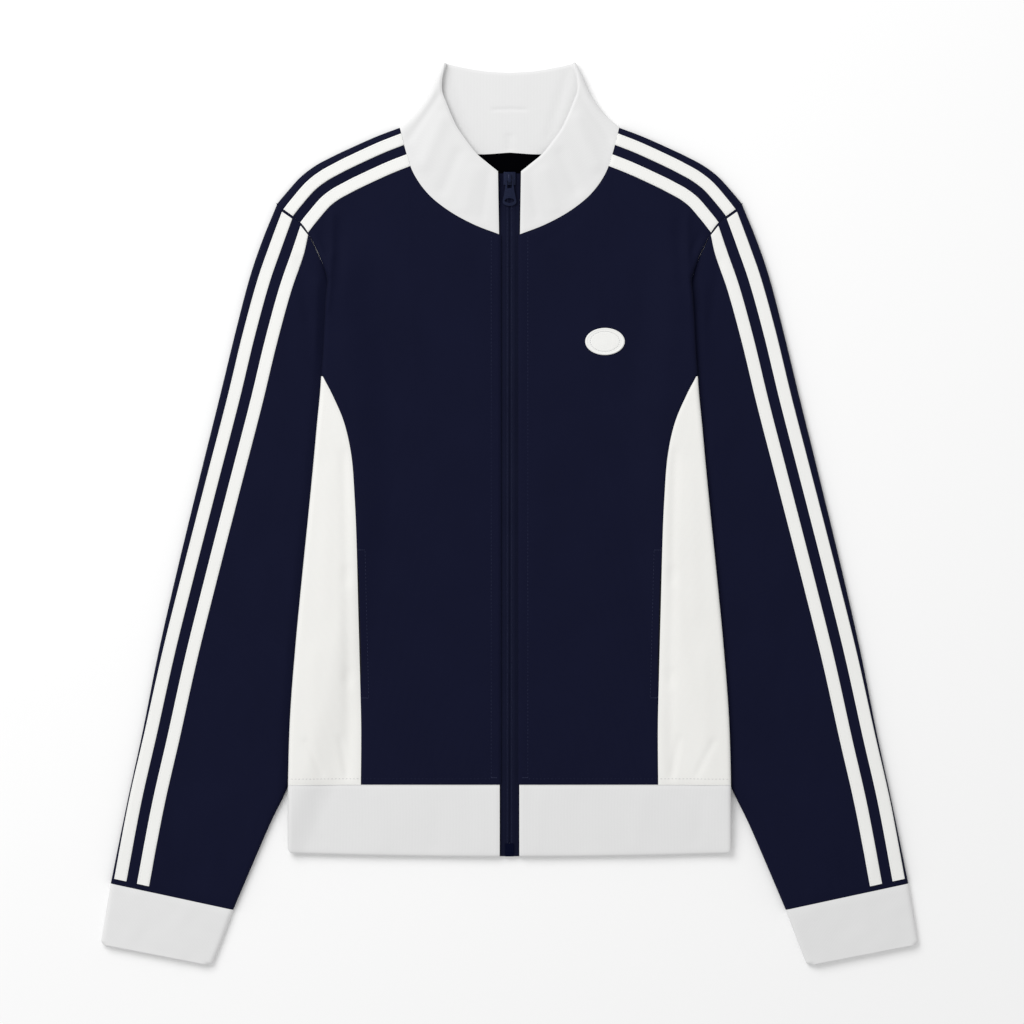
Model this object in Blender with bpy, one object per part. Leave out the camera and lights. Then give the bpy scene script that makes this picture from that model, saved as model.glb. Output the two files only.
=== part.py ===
# Track jacket laid flat, face up. Metres, +Z up, +Y towards the collar, the wearer's left at +X.
# Every panel is a wall between two surfaces worked out on a grid: a plan outline, and a height
# above the table that rises where one layer lies on another and rounds down to each fold.

import bpy
import bmesh
import math
import numpy as np
from mathutils import Vector

MM = 0.001

# Driving sizes, mm
CLOTH = 1.2            # wall of the tricot panels
RIB = 2.2              # wall of collar, hem band and cuffs, which are doubled
SEAM_GAP = 0.5         # clear plan gap between two sewn pieces
STACK_GAP = 0.4        # clear gap between layers that lie on each other
BODY_THICK = 5.8       # both body layers and the air between them
SLEEVE_THICK = 5.8
SLEEVE_PRESSED = 4.2   # a sleeve where the body lies on it
PRESS_OUT = 9.0        # the sleeve starts to flatten this far outside the body's edge
PRESS_IN = 1.0         # and is flat this far inside it
BAND_THICK = 6.0       # hem band and cuffs
FOLD_RADIUS = 4.0
BODY_LIFT = SLEEVE_PRESSED + STACK_GAP
LIFT_RAMP = 35.0       # width over which the body comes down beside the hidden sleeve
LIFT_EARLY = 9.0       # and the ramp ends this far before the sleeve's hidden edge
COLLAR_RISE = 2.6      # how far the collar's free edge stands above its seam
FRONT_EDGE = 7.8       # centre front to the edge of each front panel
COLLAR_EDGE = 9.3
HEM_SEAM_Y = -240.0
TAPE_WALL = 0.8        # stripes and patch
TAPE_LIFT = 0.3
STRIPE_WIDE = 10.9
STRIPE_STEP = 20.5     # outer edge of one stripe to the outer edge of the next

# Outline tables, mm: x from the centre front, y along the jacket, for one half.
SHOULDER_FOLD = {
    "x": (207.9, 198.6, 185.3, 172.0, 145.4, 118.8, 97.2),
    "y": (274.6, 283.3, 298.1, 308.3, 321.9, 333.8, 342.0)}
ARMHOLE = {
    "x": (207.9, 203.8, 189.9, 181.7, 173.0, 165.2, 160.9),
    "y": (274.6, 271.7, 261.4, 253.2, 238.8, 221.0, 206.3)}
ARMHOLE_HIDDEN = {"x": (160.9, 155.0, 150.2), "y": (206.3, 160.0, 118.6)}
SIDE_FOLD = {
    "y": (206.3, 188.0, 165.0, 142.0, 122.0, 104.0, 80.0, 45.0, 0.0, -60.0, -120.0, -180.0, -240.0, -297.0),
    "x": (160.9, 162.7, 163.9, 165.1, 166.6, 167.9, 170.3, 173.5, 177.9, 184.0, 189.7, 194.5, 196.0, 196.3)}
SIDE_PANEL = {
    "y": (122.0, 104.0, 80.0, 45.0, 0.0, -60.0, -120.0, -180.0, -240.0),
    "front seam": (165.4, 156.0, 146.0, 139.2, 136.2, 134.3, 132.7, 131.3, 131.2),
    "back width": (1.2, 8.0, 15.0, 21.0, 25.0, 29.0, 32.0, 35.0, 38.0)}
NECK_SEAM = {
    "x": (97.2, 91.4, 84.5, 71.5, 53.0, 31.5, 9.3),
    "y": (342.0, 319.5, 300.5, 282.6, 267.8, 256.1, 247.5)}
BACK_NECK = {"x": (97.2, 60.0, 28.8, 0.0), "y": (342.0, 322.5, 318.5, 320.0)}
COLLAR_FOLD = {
    "x": (97.2, 85.5, 77.0, 70.5, 64.3, 58.5),
    "y": (342.0, 352.6, 363.2, 373.8, 388.1, 399.4)}
COLLAR_FLAP_EDGE = {
    "x": (58.0, 60.0, 56.0, 47.2, 37.6, 28.8, 19.0, 10.2),
    "y": (399.4, 377.4, 364.1, 343.7, 329.5, 318.5, 310.6, 303.1)}
COLLAR_BACK_EDGE = {"x": (58.5, 45.0, 22.0, 0.0), "y": (399.4, 396.0, 392.0, 390.7)}
# One row for each station down the sleeve: the outer fold, the stripe margin, the inner fold.
SLEEVE = {
    "outer x": (219.0, 230.5, 243.0, 256.6, 274.0, 293.0, 310.4, 325.0, 338.5, 353.2),
    "outer y": (242.0, 208.0, 160.0, 104.0, 34.0, -44.0, -120.0, -193.0, -255.0, -327.3),
    "margin": (7.6, 7.4, 6.8, 6.9, 6.2, 5.2, 3.7, 2.1, 1.5, 2.6),
    "inner x": (148.4, 146.6, 145.9, 147.4, 153.3, 163.0, 176.5, 193.0, 214.0, 244.7),
    "inner y": (98.0, 70.0, 35.0, -5.0, -50.0, -105.0, -170.0, -233.0, -279.0, -350.7)}
CUFF = {
    "share": (0.0, 0.5, 0.92, 1.0),
    "outer x": (353.2, 357.6, 361.2, 360.0),
    "outer y": (-327.3, -354.0, -375.5, -381.6),
    "inner x": (244.7, 254.0, 262.0, 266.5),
    "inner y": (-350.7, -375.5, -396.5, -399.6)}
ZIP = {
    "coil half": 2.9, "coil low": 2.5, "coil high": 3.6, "coil bottom": -291.6, "coil top": 298.6,
    "tape in": 3.2, "tape out": 14.0, "tape low": 2.6, "tape high": 3.4,
    "tape bottom": -303.2, "tape top": 301.4,
    "box half": 4.0, "box low": 2.6, "box high": 4.6, "box bottom": -303.4}
SLIDER = {
    "half": 5.3, "bottom": 291.2, "top": 302.6, "plate": 3.9, "plate top": 5.0,
    "low": 1.5, "low top": 2.2, "neck half": 1.2, "neck from": 299.4,
    "bridge half": 1.2, "bridge bottom": 293.2, "bridge top": 300.0, "bridge leg": 1.0,
    "bridge window": 7.3, "bridge high": 8.3}
PULL = {
    "axis y": 295.4, "axis z": 6.15, "tilt": 4.0, "wall": 1.1, "bar": 0.7, "slot end": 7.2,
    "slot half": 2.0, "length": 23.0, "end half": 6.2, "waist half": 4.4, "waist at": 10.3,
    "head half": 3.6, "eye half": 4.2, "eye from": 16.0, "eye to": 20.2}
PATCH = {"x": 84.5, "y": 152.5, "half wide": 17.5, "half high": 12.0}
POCKET = {
    "y": (-20.0, -70.0, -120.0, -170.0),
    "inner x": (96.0, 66.0, 60.0, 70.0), "wall": 1.0}

COLOURS = {
    "navy": (0.010, 0.013, 0.030), "off white": (0.87, 0.87, 0.84), "rib white": (0.80, 0.80, 0.80),
    "zip navy": (0.012, 0.015, 0.035), "zip metal": (0.05, 0.07, 0.13), "bag": (0.03, 0.03, 0.05)}


def material(name, roughness=0.8, metallic=0.0):
    made = bpy.data.materials.get(name)
    if made is None:
        made = bpy.data.materials.new(name)
        made.use_nodes = True
        shader = made.node_tree.nodes["Principled BSDF"]
        shader.inputs["Base Color"].default_value = (*COLOURS[name], 1.0)
        shader.inputs["Roughness"].default_value = roughness
        shader.inputs["Metallic"].default_value = metallic
    return made


def line(table, x="x", y="y"):
    return np.column_stack((table[x], table[y])).astype(float)


def smooth(t):
    t = np.clip(t, 0.0, 1.0)
    return t * t * (3.0 - 2.0 * t)


def arc_shares(points):
    steps = np.hypot(*np.diff(points, axis=0).T)
    return np.concatenate(([0.0], np.cumsum(steps))) / steps.sum()


def on_line(points, shares):
    own = arc_shares(points)
    return np.column_stack([np.interp(shares, own, points[:, i]) for i in range(2)])


def edge_frame(plan, edge):
    """Distance from each plan point to a polyline, and the way from the polyline to the point.

    On the polyline itself the way is the normal of its nearest stretch, to the left of its run.
    """
    best = np.full(plan.shape[:-1], 1e9)
    way = np.zeros(plan.shape)
    for start, end in zip(edge[:-1], edge[1:]):
        run = end - start
        share = np.clip(((plan - start) @ run) / (run @ run), 0.0, 1.0)
        off = plan - (start + share[..., None] * run)
        far = np.hypot(off[..., 0], off[..., 1])
        normal = np.array((-run[1], run[0])) / math.hypot(*run)
        here = np.where((far > 0.02)[..., None], off / np.maximum(far, 1e-9)[..., None], normal)
        nearer = far < best - 1e-6
        best = np.where(nearer, far, best)
        way = np.where(nearer[..., None], here, way)
    return best, way


def fold_share(distance, radius=FOLD_RADIUS):
    """0 on a fold, 1 a radius away: the quarter circle that the cloth follows there."""
    return np.sqrt(1.0 - (1.0 - np.clip(distance / radius, 0.0, 1.0)) ** 2)


def side_x(y):
    """Half width of the body at a height: the side fold, and the armhole seam above it."""
    ys = np.concatenate((SIDE_FOLD["y"][::-1], ARMHOLE["y"][::-1][1:]))
    xs = np.concatenate((SIDE_FOLD["x"][::-1], ARMHOLE["x"][::-1][1:]))
    return np.interp(y, ys, xs)


def body_base(plan):
    """Underside of the body: on the table, but on top of the hidden part of each sleeve."""
    x, y = plan[..., 0], plan[..., 1]
    ys = np.concatenate((SLEEVE["inner y"][::-1], ARMHOLE_HIDDEN["y"][::-1]))
    xs = np.concatenate((SLEEVE["inner x"][::-1], ARMHOLE_HIDDEN["x"][::-1]))
    hidden = np.interp(y, ys, xs) - LIFT_EARLY
    across = smooth((x - hidden + LIFT_RAMP) / LIFT_RAMP)
    return BODY_LIFT * across * smooth((250.0 - y) / 44.0)


def inset(plan, way, amount):
    return plan + way * amount[..., None]


def body_surface(plan, side, wall, thick=BODY_THICK, level=0.0):
    """Outer and inner surface of a body layer; side is +1 for the front and -1 for the back."""
    fold = np.vstack((line(ARMHOLE), line(SIDE_FOLD)[1:]))[::-1]
    to_side, side_way = edge_frame(plan, fold)
    to_shoulder, shoulder_way = edge_frame(plan, line(SHOULDER_FOLD))
    tuck = smooth((250.0 - plan[..., 1]) / 44.0)
    open_side = 1.0 - tuck * (1.0 - fold_share(to_side))
    share = open_side * fold_share(to_shoulder)
    mid = body_base(plan) + thick / 2.0 + level
    outer_z = mid + side * np.maximum(thick / 2.0 * share, SEAM_GAP / 2.0 if side else 0.0)
    inner_z = mid + side * np.maximum((thick / 2.0 - wall) * share, SEAM_GAP / 2.0 if side else 0.0)
    shift = wall * tuck * (1.0 - np.clip(to_side / FOLD_RADIUS, 0, 1))
    inner = inset(plan, side_way, shift)
    shift = wall * (1.0 - np.clip(to_shoulder / FOLD_RADIUS, 0, 1)) * (1.0 - tuck)
    inner = inset(inner, shoulder_way, shift)
    return np.dstack((plan, outer_z)), np.dstack((inner, inner_z))


def coons(bottom, top, left, right, across, along, decay=1.0):
    """A plan grid between four polylines; rows run along, columns across.

    Straight columns join bottom to top, and each side's bend fades out away from it.
    """
    u = across[None, :, None]
    v = along[:, None, None]
    straight = (1 - v) * bottom[None] + v * top[None]
    left_bend = left[:, None] - ((1 - v) * left[0] + v * left[-1])
    right_bend = right[:, None] - ((1 - v) * right[0] + v * right[-1])
    return straight + (1 - u) ** decay * left_bend + u ** decay * right_bend


def trim(plan, sides, amount=SEAM_GAP / 2.0):
    """Draws the named edges of a plan grid in by half a seam gap."""
    plan = plan.copy()
    edges = {"first row": (np.s_[0], np.s_[1]), "last row": (np.s_[-1], np.s_[-2]),
             "first column": (np.s_[:, 0], np.s_[:, 1]), "last column": (np.s_[:, -1], np.s_[:, -2])}
    for side in sides:
        edge, beside = edges[side]
        inward = plan[beside] - plan[edge]
        along = np.gradient(plan[edge], axis=0)
        normal = np.column_stack((-along[:, 1], along[:, 0]))
        normal /= np.maximum(np.hypot(*normal.T), 1e-6)[:, None]
        reach = (normal * inward).sum(axis=1)
        step = np.minimum(amount, 0.45 * np.abs(reach)) * np.sign(reach)
        plan[edge] = plan[edge] + normal * step[:, None]
    return plan


def shell(name, outer, inner, colour, ring=False, mirror=False, collection=None):
    """A closed wall between two grids of points, open at its rims; ring joins last to first."""
    rows, columns = outer.shape[:2]
    mesh = bmesh.new()
    verts = []
    for grid in (outer, inner):
        verts.append([[mesh.verts.new(Vector(grid[i, j]) * MM) for j in range(columns)]
                      for i in range(rows)])
    wide = columns if ring else columns - 1
    for i in range(rows - 1):
        for j in range(wide):
            k = (j + 1) % columns
            out, back = verts
            mesh.faces.new((out[i][j], out[i][k], out[i + 1][k], out[i + 1][j]))
            mesh.faces.new((back[i][j], back[i + 1][j], back[i + 1][k], back[i][k]))
    for i in (0, rows - 1):
        for j in range(wide):
            k = (j + 1) % columns
            mesh.faces.new((verts[0][i][j], verts[0][i][k], verts[1][i][k], verts[1][i][j]))
    if not ring:
        for j in (0, columns - 1):
            for i in range(rows - 1):
                mesh.faces.new((verts[0][i][j], verts[0][i + 1][j], verts[1][i + 1][j], verts[1][i][j]))
    if mirror:
        for vert in mesh.verts:
            vert.co.x = -vert.co.x
    bmesh.ops.triangulate(mesh, faces=mesh.faces[:])
    bmesh.ops.recalc_face_normals(mesh, faces=mesh.faces[:])
    if mesh.calc_volume(signed=True) < 0.0:
        bmesh.ops.reverse_faces(mesh, faces=mesh.faces[:])
    data = bpy.data.meshes.new(name)
    mesh.to_mesh(data)
    mesh.free()
    data.materials.append(material(colour))
    made = bpy.data.objects.new(name, data)
    collection.objects.link(made)
    data.shade_smooth()
    data.set_sharp_from_angle(angle=math.radians(40))
    return made


def both_sides(name, outer, inner, colour, collection, ring=False):
    shell(name + "_left", outer, inner, colour, ring, False, collection)
    shell(name + "_right", outer, inner, colour, ring, True, collection)


def side_line():
    """The body's side from the hem up: seam of the side panel, side fold, armhole."""
    seam = np.column_stack((SIDE_PANEL["front seam"], SIDE_PANEL["y"]))[::-1]
    fold = line(SIDE_FOLD)[:5][::-1]
    return seam, fold[1:], line(ARMHOLE)[::-1][1:]


def half_panel(side_points, top_points, centre_x, centre_top):
    """Plan grid of one half of a body panel, columns from the side to the centre."""
    along = (side_points[:, 1] - side_points[0, 1]) / (side_points[-1, 1] - side_points[0, 1])
    across = arc_shares(top_points)
    bottom_x = side_points[0, 0] + (centre_x - side_points[0, 0]) * across
    bottom = np.column_stack((bottom_x, np.full(len(across), HEM_SEAM_Y)))
    centre_y = HEM_SEAM_Y + (centre_top - HEM_SEAM_Y) * along
    centre = np.column_stack((np.full(len(along), centre_x), centre_y))
    return coons(bottom, top_points, side_points, centre, across, along, 3.0)


def fronts(collection):
    neck = line(NECK_SEAM)
    neck[-1] = (FRONT_EDGE, 247.0)
    top = np.vstack((line(SHOULDER_FOLD), neck[1:]))
    plan = half_panel(np.vstack(side_line()), top, FRONT_EDGE, 247.0)
    plan = trim(plan, ("first row", "last row", "first column"))
    both_sides("front", *body_surface(plan, 1, CLOTH), "navy", collection)


def back(collection):
    seam, fold, armhole = side_line()
    widths = np.array(SIDE_PANEL["back width"])[::-1]
    seam = np.column_stack((side_x(seam[:, 1]) - widths, seam[:, 1]))
    top = np.vstack((line(SHOULDER_FOLD)[[0, 2, 3, 4, 6]], line(BACK_NECK)[1:]))
    half = half_panel(np.vstack((seam, fold, armhole)), top, 0.0, BACK_NECK["y"][-1])
    half = trim(half, ("first row", "last row", "first column"))
    outer, inner = body_surface(half, -1, CLOTH)
    flip = np.array((-1.0, 1.0, 1.0))
    outer = np.concatenate((outer, outer[:, -2::-1] * flip), axis=1)
    inner = np.concatenate((inner, inner[:, -2::-1] * flip), axis=1)
    shell("back_panel", outer, inner, "navy", collection=collection)


def round_fold(front_plan, back_plan, surface):
    """Joins a front and a back grid that share their fold column into one wrapped wall."""
    front = surface(front_plan, 1)
    behind = surface(back_plan, -1)
    joined = []
    for near, far in zip(front, behind):
        near = near.copy()
        near[:, -1, 2] = (near[:, -1, 2] + far[:, 0, 2]) / 2.0
        joined.append(np.concatenate((near, far[:, 1:]), axis=1))
    return joined


def fold_columns(width):
    """Distances in from a fold for a strip's columns, closest where the cloth turns."""
    near = [np.minimum(step, width * part) for step, part in ((0.0, 0.0), (0.4, 0.04), (1.6, 0.12), (4.2, 0.3))]
    return np.column_stack(near + [width * 0.6, width])


def side_panels(collection):
    y = np.array(SIDE_PANEL["y"])[::-1]
    fold = side_x(y)
    front = fold[:, None] - fold_columns(fold - np.array(SIDE_PANEL["front seam"])[::-1])
    behind = fold[:, None] - fold_columns(np.array(SIDE_PANEL["back width"])[::-1])
    rows = np.repeat(y[:, None], front.shape[1], axis=1)
    front = trim(np.dstack((front, rows))[:, ::-1], ("first row", "first column"))
    behind = trim(np.dstack((behind, rows)), ("first row", "last column"))
    front[-1, :, 1] -= SEAM_GAP
    behind[-1, :, 1] -= SEAM_GAP
    outer, inner = round_fold(front, behind, lambda plan, side: body_surface(plan, side, CLOTH))
    both_sides("side_panel", outer, inner, "off white", collection)


def hem_band(collection):
    """One band, folded at both sides and open at the centre front."""
    y = np.array((-300.4, -297.0, -268.0, HEM_SEAM_Y - SEAM_GAP / 2.0))
    drop = np.array((1.0, 0.0, 0.0, 0.0))
    fold = side_x(y) - np.array((4.0, 0.0, 0.0, 0.0))
    centre = np.repeat(COLLAR_EDGE - 0.6, len(y))
    columns = np.array((0.0, 0.4, 1.6, 4.2))
    spread = np.array((0.2, 0.45, 0.7, 1.0))

    def grid(inner_x):
        near = fold[:, None] - columns
        far = near[:, -1:] + (inner_x[:, None] - near[:, -1:]) * spread
        x = np.concatenate((near, far), axis=1)
        rows = y[:, None] - drop[:, None] * 3.2 * (1.0 - (x / 196.0) ** 2)
        return np.dstack((x, rows))

    front = grid(centre)[:, ::-1]
    behind = grid(np.zeros(len(y)))
    surface = lambda plan, side: body_surface(plan, side, RIB, BAND_THICK)
    outer, inner = round_fold(front, behind, surface)
    flip = np.array((-1.0, 1.0, 1.0))
    outer = np.concatenate((outer, outer[:, -2::-1] * flip), axis=1)
    inner = np.concatenate((inner, inner[:, -2::-1] * flip), axis=1)
    shell("hem_band", outer, inner, "rib white", collection=collection)


def collar(collection):
    """One band folded at both shoulders: its ends lie over its back as two flaps."""
    rows = np.linspace(0.0, 1.0, 6)
    fold = on_line(line(COLLAR_FOLD), rows)
    seam = line(NECK_SEAM)
    near_fold = np.array((0.993, 0.975, 0.94))
    across = np.sort(np.concatenate((arc_shares(seam), 1.0 - near_fold)))
    flap_seam = on_line(seam, across)
    flap_edge = on_line(line(COLLAR_FLAP_EDGE), across)
    front_end = np.column_stack((np.linspace(seam[-1, 0], flap_edge[-1, 0], 6),
                                 np.linspace(seam[-1, 1], flap_edge[-1, 1], 6)))
    flap = coons(flap_seam, flap_edge, fold, front_end, across, rows)
    back_across = np.array((0.0, 0.007, 0.025, 0.06, 0.3, 0.6, 1.0))
    back_seam = on_line(line(BACK_NECK), back_across)
    back_edge = on_line(line(COLLAR_BACK_EDGE), back_across)
    middle = np.column_stack((np.zeros(6), np.linspace(back_seam[-1, 1], back_edge[-1, 1], 6)))
    behind = coons(back_seam, back_edge, fold, middle, back_across, rows)
    flap = trim(flap, ("first row",))[:, ::-1]
    behind = trim(behind, ("first row",))
    flap[:, -1] = behind[:, 0]

    def surface(plan, side):
        distance, way = edge_frame(plan, line(COLLAR_FOLD))
        rise, _ = edge_frame(plan, line(NECK_SEAM))
        top = BAND_THICK + COLLAR_RISE * smooth(rise / 50.0)
        share = fold_share(distance, 5.0)
        outer_z = top / 2.0 * (1.0 + side * share)
        inner_z = top / 2.0 + side * (top / 2.0 - RIB) * share
        shift = RIB * (1.0 - np.clip(distance / 5.0, 0.0, 1.0))
        return np.dstack((plan, outer_z)), np.dstack((inset(plan, way, shift), inner_z))

    outer, inner = round_fold(flap, behind, surface)
    flip = np.array((-1.0, 1.0, 1.0))
    outer = np.concatenate((outer, outer[:, -2::-1] * flip), axis=1)
    inner = np.concatenate((inner, inner[:, -2::-1] * flip), axis=1)
    shell("collar", outer, inner, "rib white", collection=collection)


def pressed_shares(start, rest, edge):
    """Where a sleeve row needs columns: halfway, and at each end of the slope under the body."""
    shares = np.linspace(0.0, 1.0, 200)
    points = start + rest * shares[:, None]
    clear = points[:, 0] - side_x(points[:, 1])
    if clear[-1] > -PRESS_IN:
        return np.array((0.3, 0.6, 0.85))
    free = np.interp(-PRESS_OUT, -clear, shares)
    under = min(np.interp(PRESS_IN, -clear, shares), 1.0 - edge)
    return np.array((0.5 * free, free, under))


def sleeve_plan():
    """Plan grid of one sleeve layer: rows from the armhole to the cuff, columns outer to inner."""
    outer = line(SLEEVE, "outer x", "outer y")
    inner = line(SLEEVE, "inner x", "inner y")
    margin = np.array(SLEEVE["margin"])
    armhole = np.vstack((line(ARMHOLE), line(ARMHOLE_HIDDEN)[1:]))
    lengths = np.concatenate(([0.0], np.cumsum(np.hypot(*np.diff(armhole, axis=0).T))))
    marks = lengths[1:7]
    first = np.concatenate(([0.0, 0.15 * marks[0], 0.45 * marks[0], marks[0],
                             marks[0] + 1.8, marks[0] + 6.5], marks[1:], lengths[-2:-1],
                            lengths[-1] - np.array((4.2, 1.6, 0.4, 0.0))))
    rows = [on_line(armhole, first / lengths[-1])]
    run = np.gradient(np.vstack(([207.9, 274.6], outer)), axis=0)[1:]
    for i in range(len(outer)):
        chord = inner[i] - outer[i]
        chord = chord / np.hypot(*chord)
        square = np.array((run[i][1], -run[i][0])) / np.hypot(*run[i])
        way = chord if i == len(outer) - 1 else square
        m = margin[i]
        steps = np.array((0.0, 0.15 * m, 0.45 * m, m, m + 1.3, m + 4.4, m + STRIPE_WIDE,
                          m + STRIPE_STEP, m + STRIPE_STEP + STRIPE_WIDE))
        start = outer[i] + way * steps[:, None]
        rest = inner[i] - start[-1]
        length = np.hypot(*rest)
        shares = np.concatenate((pressed_shares(start[-1], rest, 4.6 / length),
                                 1.0 - np.array((4.2, 1.6, 0.4, 0.0)) / length))
        rows.append(np.vstack((start, start[-1] + rest * shares[:, None])))
    return np.array(rows)


def sleeve_surface(plan, side, wall=CLOTH, pad=0.0):
    x, y = plan[..., 0], plan[..., 1]
    slope = (side_x(y) - x + PRESS_OUT) / (PRESS_OUT + PRESS_IN)
    pressed = smooth(slope) * smooth((235.0 - y) / 30.0)
    thick = SLEEVE_THICK - (SLEEVE_THICK - SLEEVE_PRESSED) * pressed
    outer_fold = np.vstack(([207.9, 274.6], line(SLEEVE, "outer x", "outer y")))
    inner_fold = np.vstack((line(ARMHOLE_HIDDEN)[-1:], line(SLEEVE, "inner x", "inner y")))
    to_outer, outer_way = edge_frame(plan, outer_fold[::-1])
    to_inner, inner_way = edge_frame(plan, inner_fold)
    share = fold_share(to_outer) * fold_share(to_inner)
    outer_z = thick / 2.0 + side * (thick / 2.0 + pad) * share
    inner_z = thick / 2.0 + side * (thick / 2.0 - wall + pad) * share
    inner = inset(plan, outer_way, wall * (1.0 - np.clip(to_outer / FOLD_RADIUS, 0, 1)))
    inner = inset(inner, inner_way, wall * (1.0 - np.clip(to_inner / FOLD_RADIUS, 0, 1)))
    return np.dstack((plan, outer_z)), np.dstack((inner, inner_z))


def tube(plan, surface):
    """Closes a flattened tube: the top layer outwards in, then the bottom layer back."""
    top = surface(plan, 1)
    bottom = surface(plan, -1)
    return [np.concatenate((high, low[:, -2:0:-1]), axis=1) for high, low in zip(top, bottom)]


def sleeves(collection):
    plan = trim(sleeve_plan(), ("first row", "last row"))
    outer, inner = tube(plan, sleeve_surface)
    both_sides("sleeve", outer, inner, "navy", collection, ring=True)
    top = sleeve_surface(plan, 1)[0]
    for name, columns in (("outer", slice(3, 7)), ("inner", slice(7, 9))):
        strip = top[:, columns]
        normal = grid_normals(top)[:, columns]
        both_sides("sleeve_stripe_" + name, strip + normal * (TAPE_LIFT + TAPE_WALL),
                   strip + normal * TAPE_LIFT, "off white", collection)


def grid_normals(grid):
    """Upward unit normals of a grid surface."""
    normal = np.cross(np.gradient(grid, axis=0), np.gradient(grid, axis=1))
    normal *= np.sign(normal[..., 2:3] + 1e-12)
    return normal / np.maximum(np.linalg.norm(normal, axis=2, keepdims=True), 1e-9)


def shoulder_stripes(collection):
    """Two tapes on each front, from the neck seam to the armhole, beside the shoulder fold."""
    fold = line(SHOULDER_FOLD)[::-1]
    square = np.gradient(fold, axis=0)
    square = np.column_stack((square[:, 1], -square[:, 0]))
    square = square / np.hypot(*square.T)[:, None]
    for name, start, wide in (("outer", 5.4, 10.4), ("inner", 24.4, 10.8)):
        near = fold + square * np.linspace(start, start + 2.2, len(fold))[:, None]
        far = fold + square * np.linspace(start + wide, start + 2.2 + wide, len(fold))[:, None]
        for edge in (near, far):
            edge[0] = meet(edge[1], edge[0], line(NECK_SEAM))
            edge[-1] = meet(edge[-2], edge[-1], line(ARMHOLE))
        plan = np.stack((near, far), axis=1)
        surface = body_surface(plan, 1, CLOTH)[0]
        up = np.array((0.0, 0.0, 1.0))
        both_sides("shoulder_stripe_" + name, surface + up * (TAPE_LIFT + TAPE_WALL),
                   surface + up * TAPE_LIFT, "off white", collection)


def meet(inside, towards, seam, clear=0.8):
    """Where the run from inside through towards reaches a seam, less a small clearance."""
    way = (towards - inside) / np.hypot(*(towards - inside))
    reach = np.hypot(*(towards - inside)) * 1.8
    steps = np.linspace(0.0, reach, 400)[:, None]
    points = inside + way * steps
    distance, _ = edge_frame(points, seam)
    hit = int(np.argmin(distance))
    return points[hit] - way * clear


def cuffs(collection):
    outer = line(CUFF, "outer x", "outer y")
    inner = line(CUFF, "inner x", "inner y")
    width = np.hypot(*(inner - outer).T)
    edge = np.array((0.0, 0.4, 1.6, 4.2))
    shares = np.array([np.concatenate((edge / w, (0.5,), 1.0 - edge[::-1] / w)) for w in width])
    plan = outer[:, None] + (inner - outer)[:, None] * shares[..., None]
    plan = trim(plan, ("first row",))

    def surface(plan, side):
        to_outer, outer_way = edge_frame(plan, outer[::-1])
        to_inner, inner_way = edge_frame(plan, inner)
        share = fold_share(to_outer) * fold_share(to_inner)
        outer_z = BAND_THICK / 2.0 * (1.0 + side * share)
        inner_z = BAND_THICK / 2.0 + side * (BAND_THICK / 2.0 - RIB) * share
        back = inset(plan, outer_way, RIB * (1.0 - np.clip(to_outer / FOLD_RADIUS, 0, 1)))
        back = inset(back, inner_way, RIB * (1.0 - np.clip(to_inner / FOLD_RADIUS, 0, 1)))
        return np.dstack((plan, outer_z)), np.dstack((back, inner_z))

    both_sides("cuff", *tube(plan, surface), "rib white", collection, ring=True)


def pockets(collection):
    """Bags hung from the mouths in the side seams, just under the fronts."""
    y = np.array(POCKET["y"])
    mouth = np.interp(y, SIDE_PANEL["y"][::-1], SIDE_PANEL["front seam"][::-1]) - 1.0
    shares = np.linspace(0.0, 1.0, 4)
    x = mouth[:, None] + (np.array(POCKET["inner x"]) - mouth)[:, None] * shares
    plan = np.dstack((x, np.repeat(y[:, None], 4, axis=1)))
    under = body_surface(plan, 1, CLOTH)[0]
    top = under - np.array((0.0, 0.0, CLOTH + 0.55))
    both_sides("pocket_bag", top, top - np.array((0.0, 0.0, POCKET["wall"])), "bag", collection)


def patch(collection):
    """A plain oval patch on the wearer's left chest."""
    rings = np.array((0.02, 0.55, 1.0))
    angles = np.linspace(0.0, 2.0 * math.pi, 20, endpoint=False)
    bpy.ops.mesh.primitive_cylinder_add(
        vertices=len(angles), radius=PATCH["half wide"] * MM, depth=TAPE_WALL * MM)
    made = bpy.context.object
    made.name = made.data.name = "chest_patch"
    level = BODY_THICK + TAPE_LIFT + TAPE_WALL / 2.0
    for vert in made.data.vertices:
        vert.co.y *= PATCH["half high"] / PATCH["half wide"]
    made.location = (PATCH["x"] * MM, PATCH["y"] * MM, level * MM)
    made.data.materials.append(material("off white"))
    move_to(made, collection)


def move_to(made, collection):
    for old in list(made.users_collection):
        old.objects.unlink(made)
    collection.objects.link(made)


def block(name, low, high, colour, collection, roughness=0.6, metallic=0.0):
    """A box from its low and high corners, mm, with its scale applied."""
    bpy.ops.mesh.primitive_cube_add(size=1.0)
    made = bpy.context.object
    made.name = made.data.name = name
    low, high = Vector(low) * MM, Vector(high) * MM
    for vert in made.data.vertices:
        vert.co = Vector([(high[i] + low[i]) / 2 + vert.co[i] * (high[i] - low[i]) for i in range(3)])
    made.data.materials.append(material(colour, roughness, metallic))
    move_to(made, collection)
    return made


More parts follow.
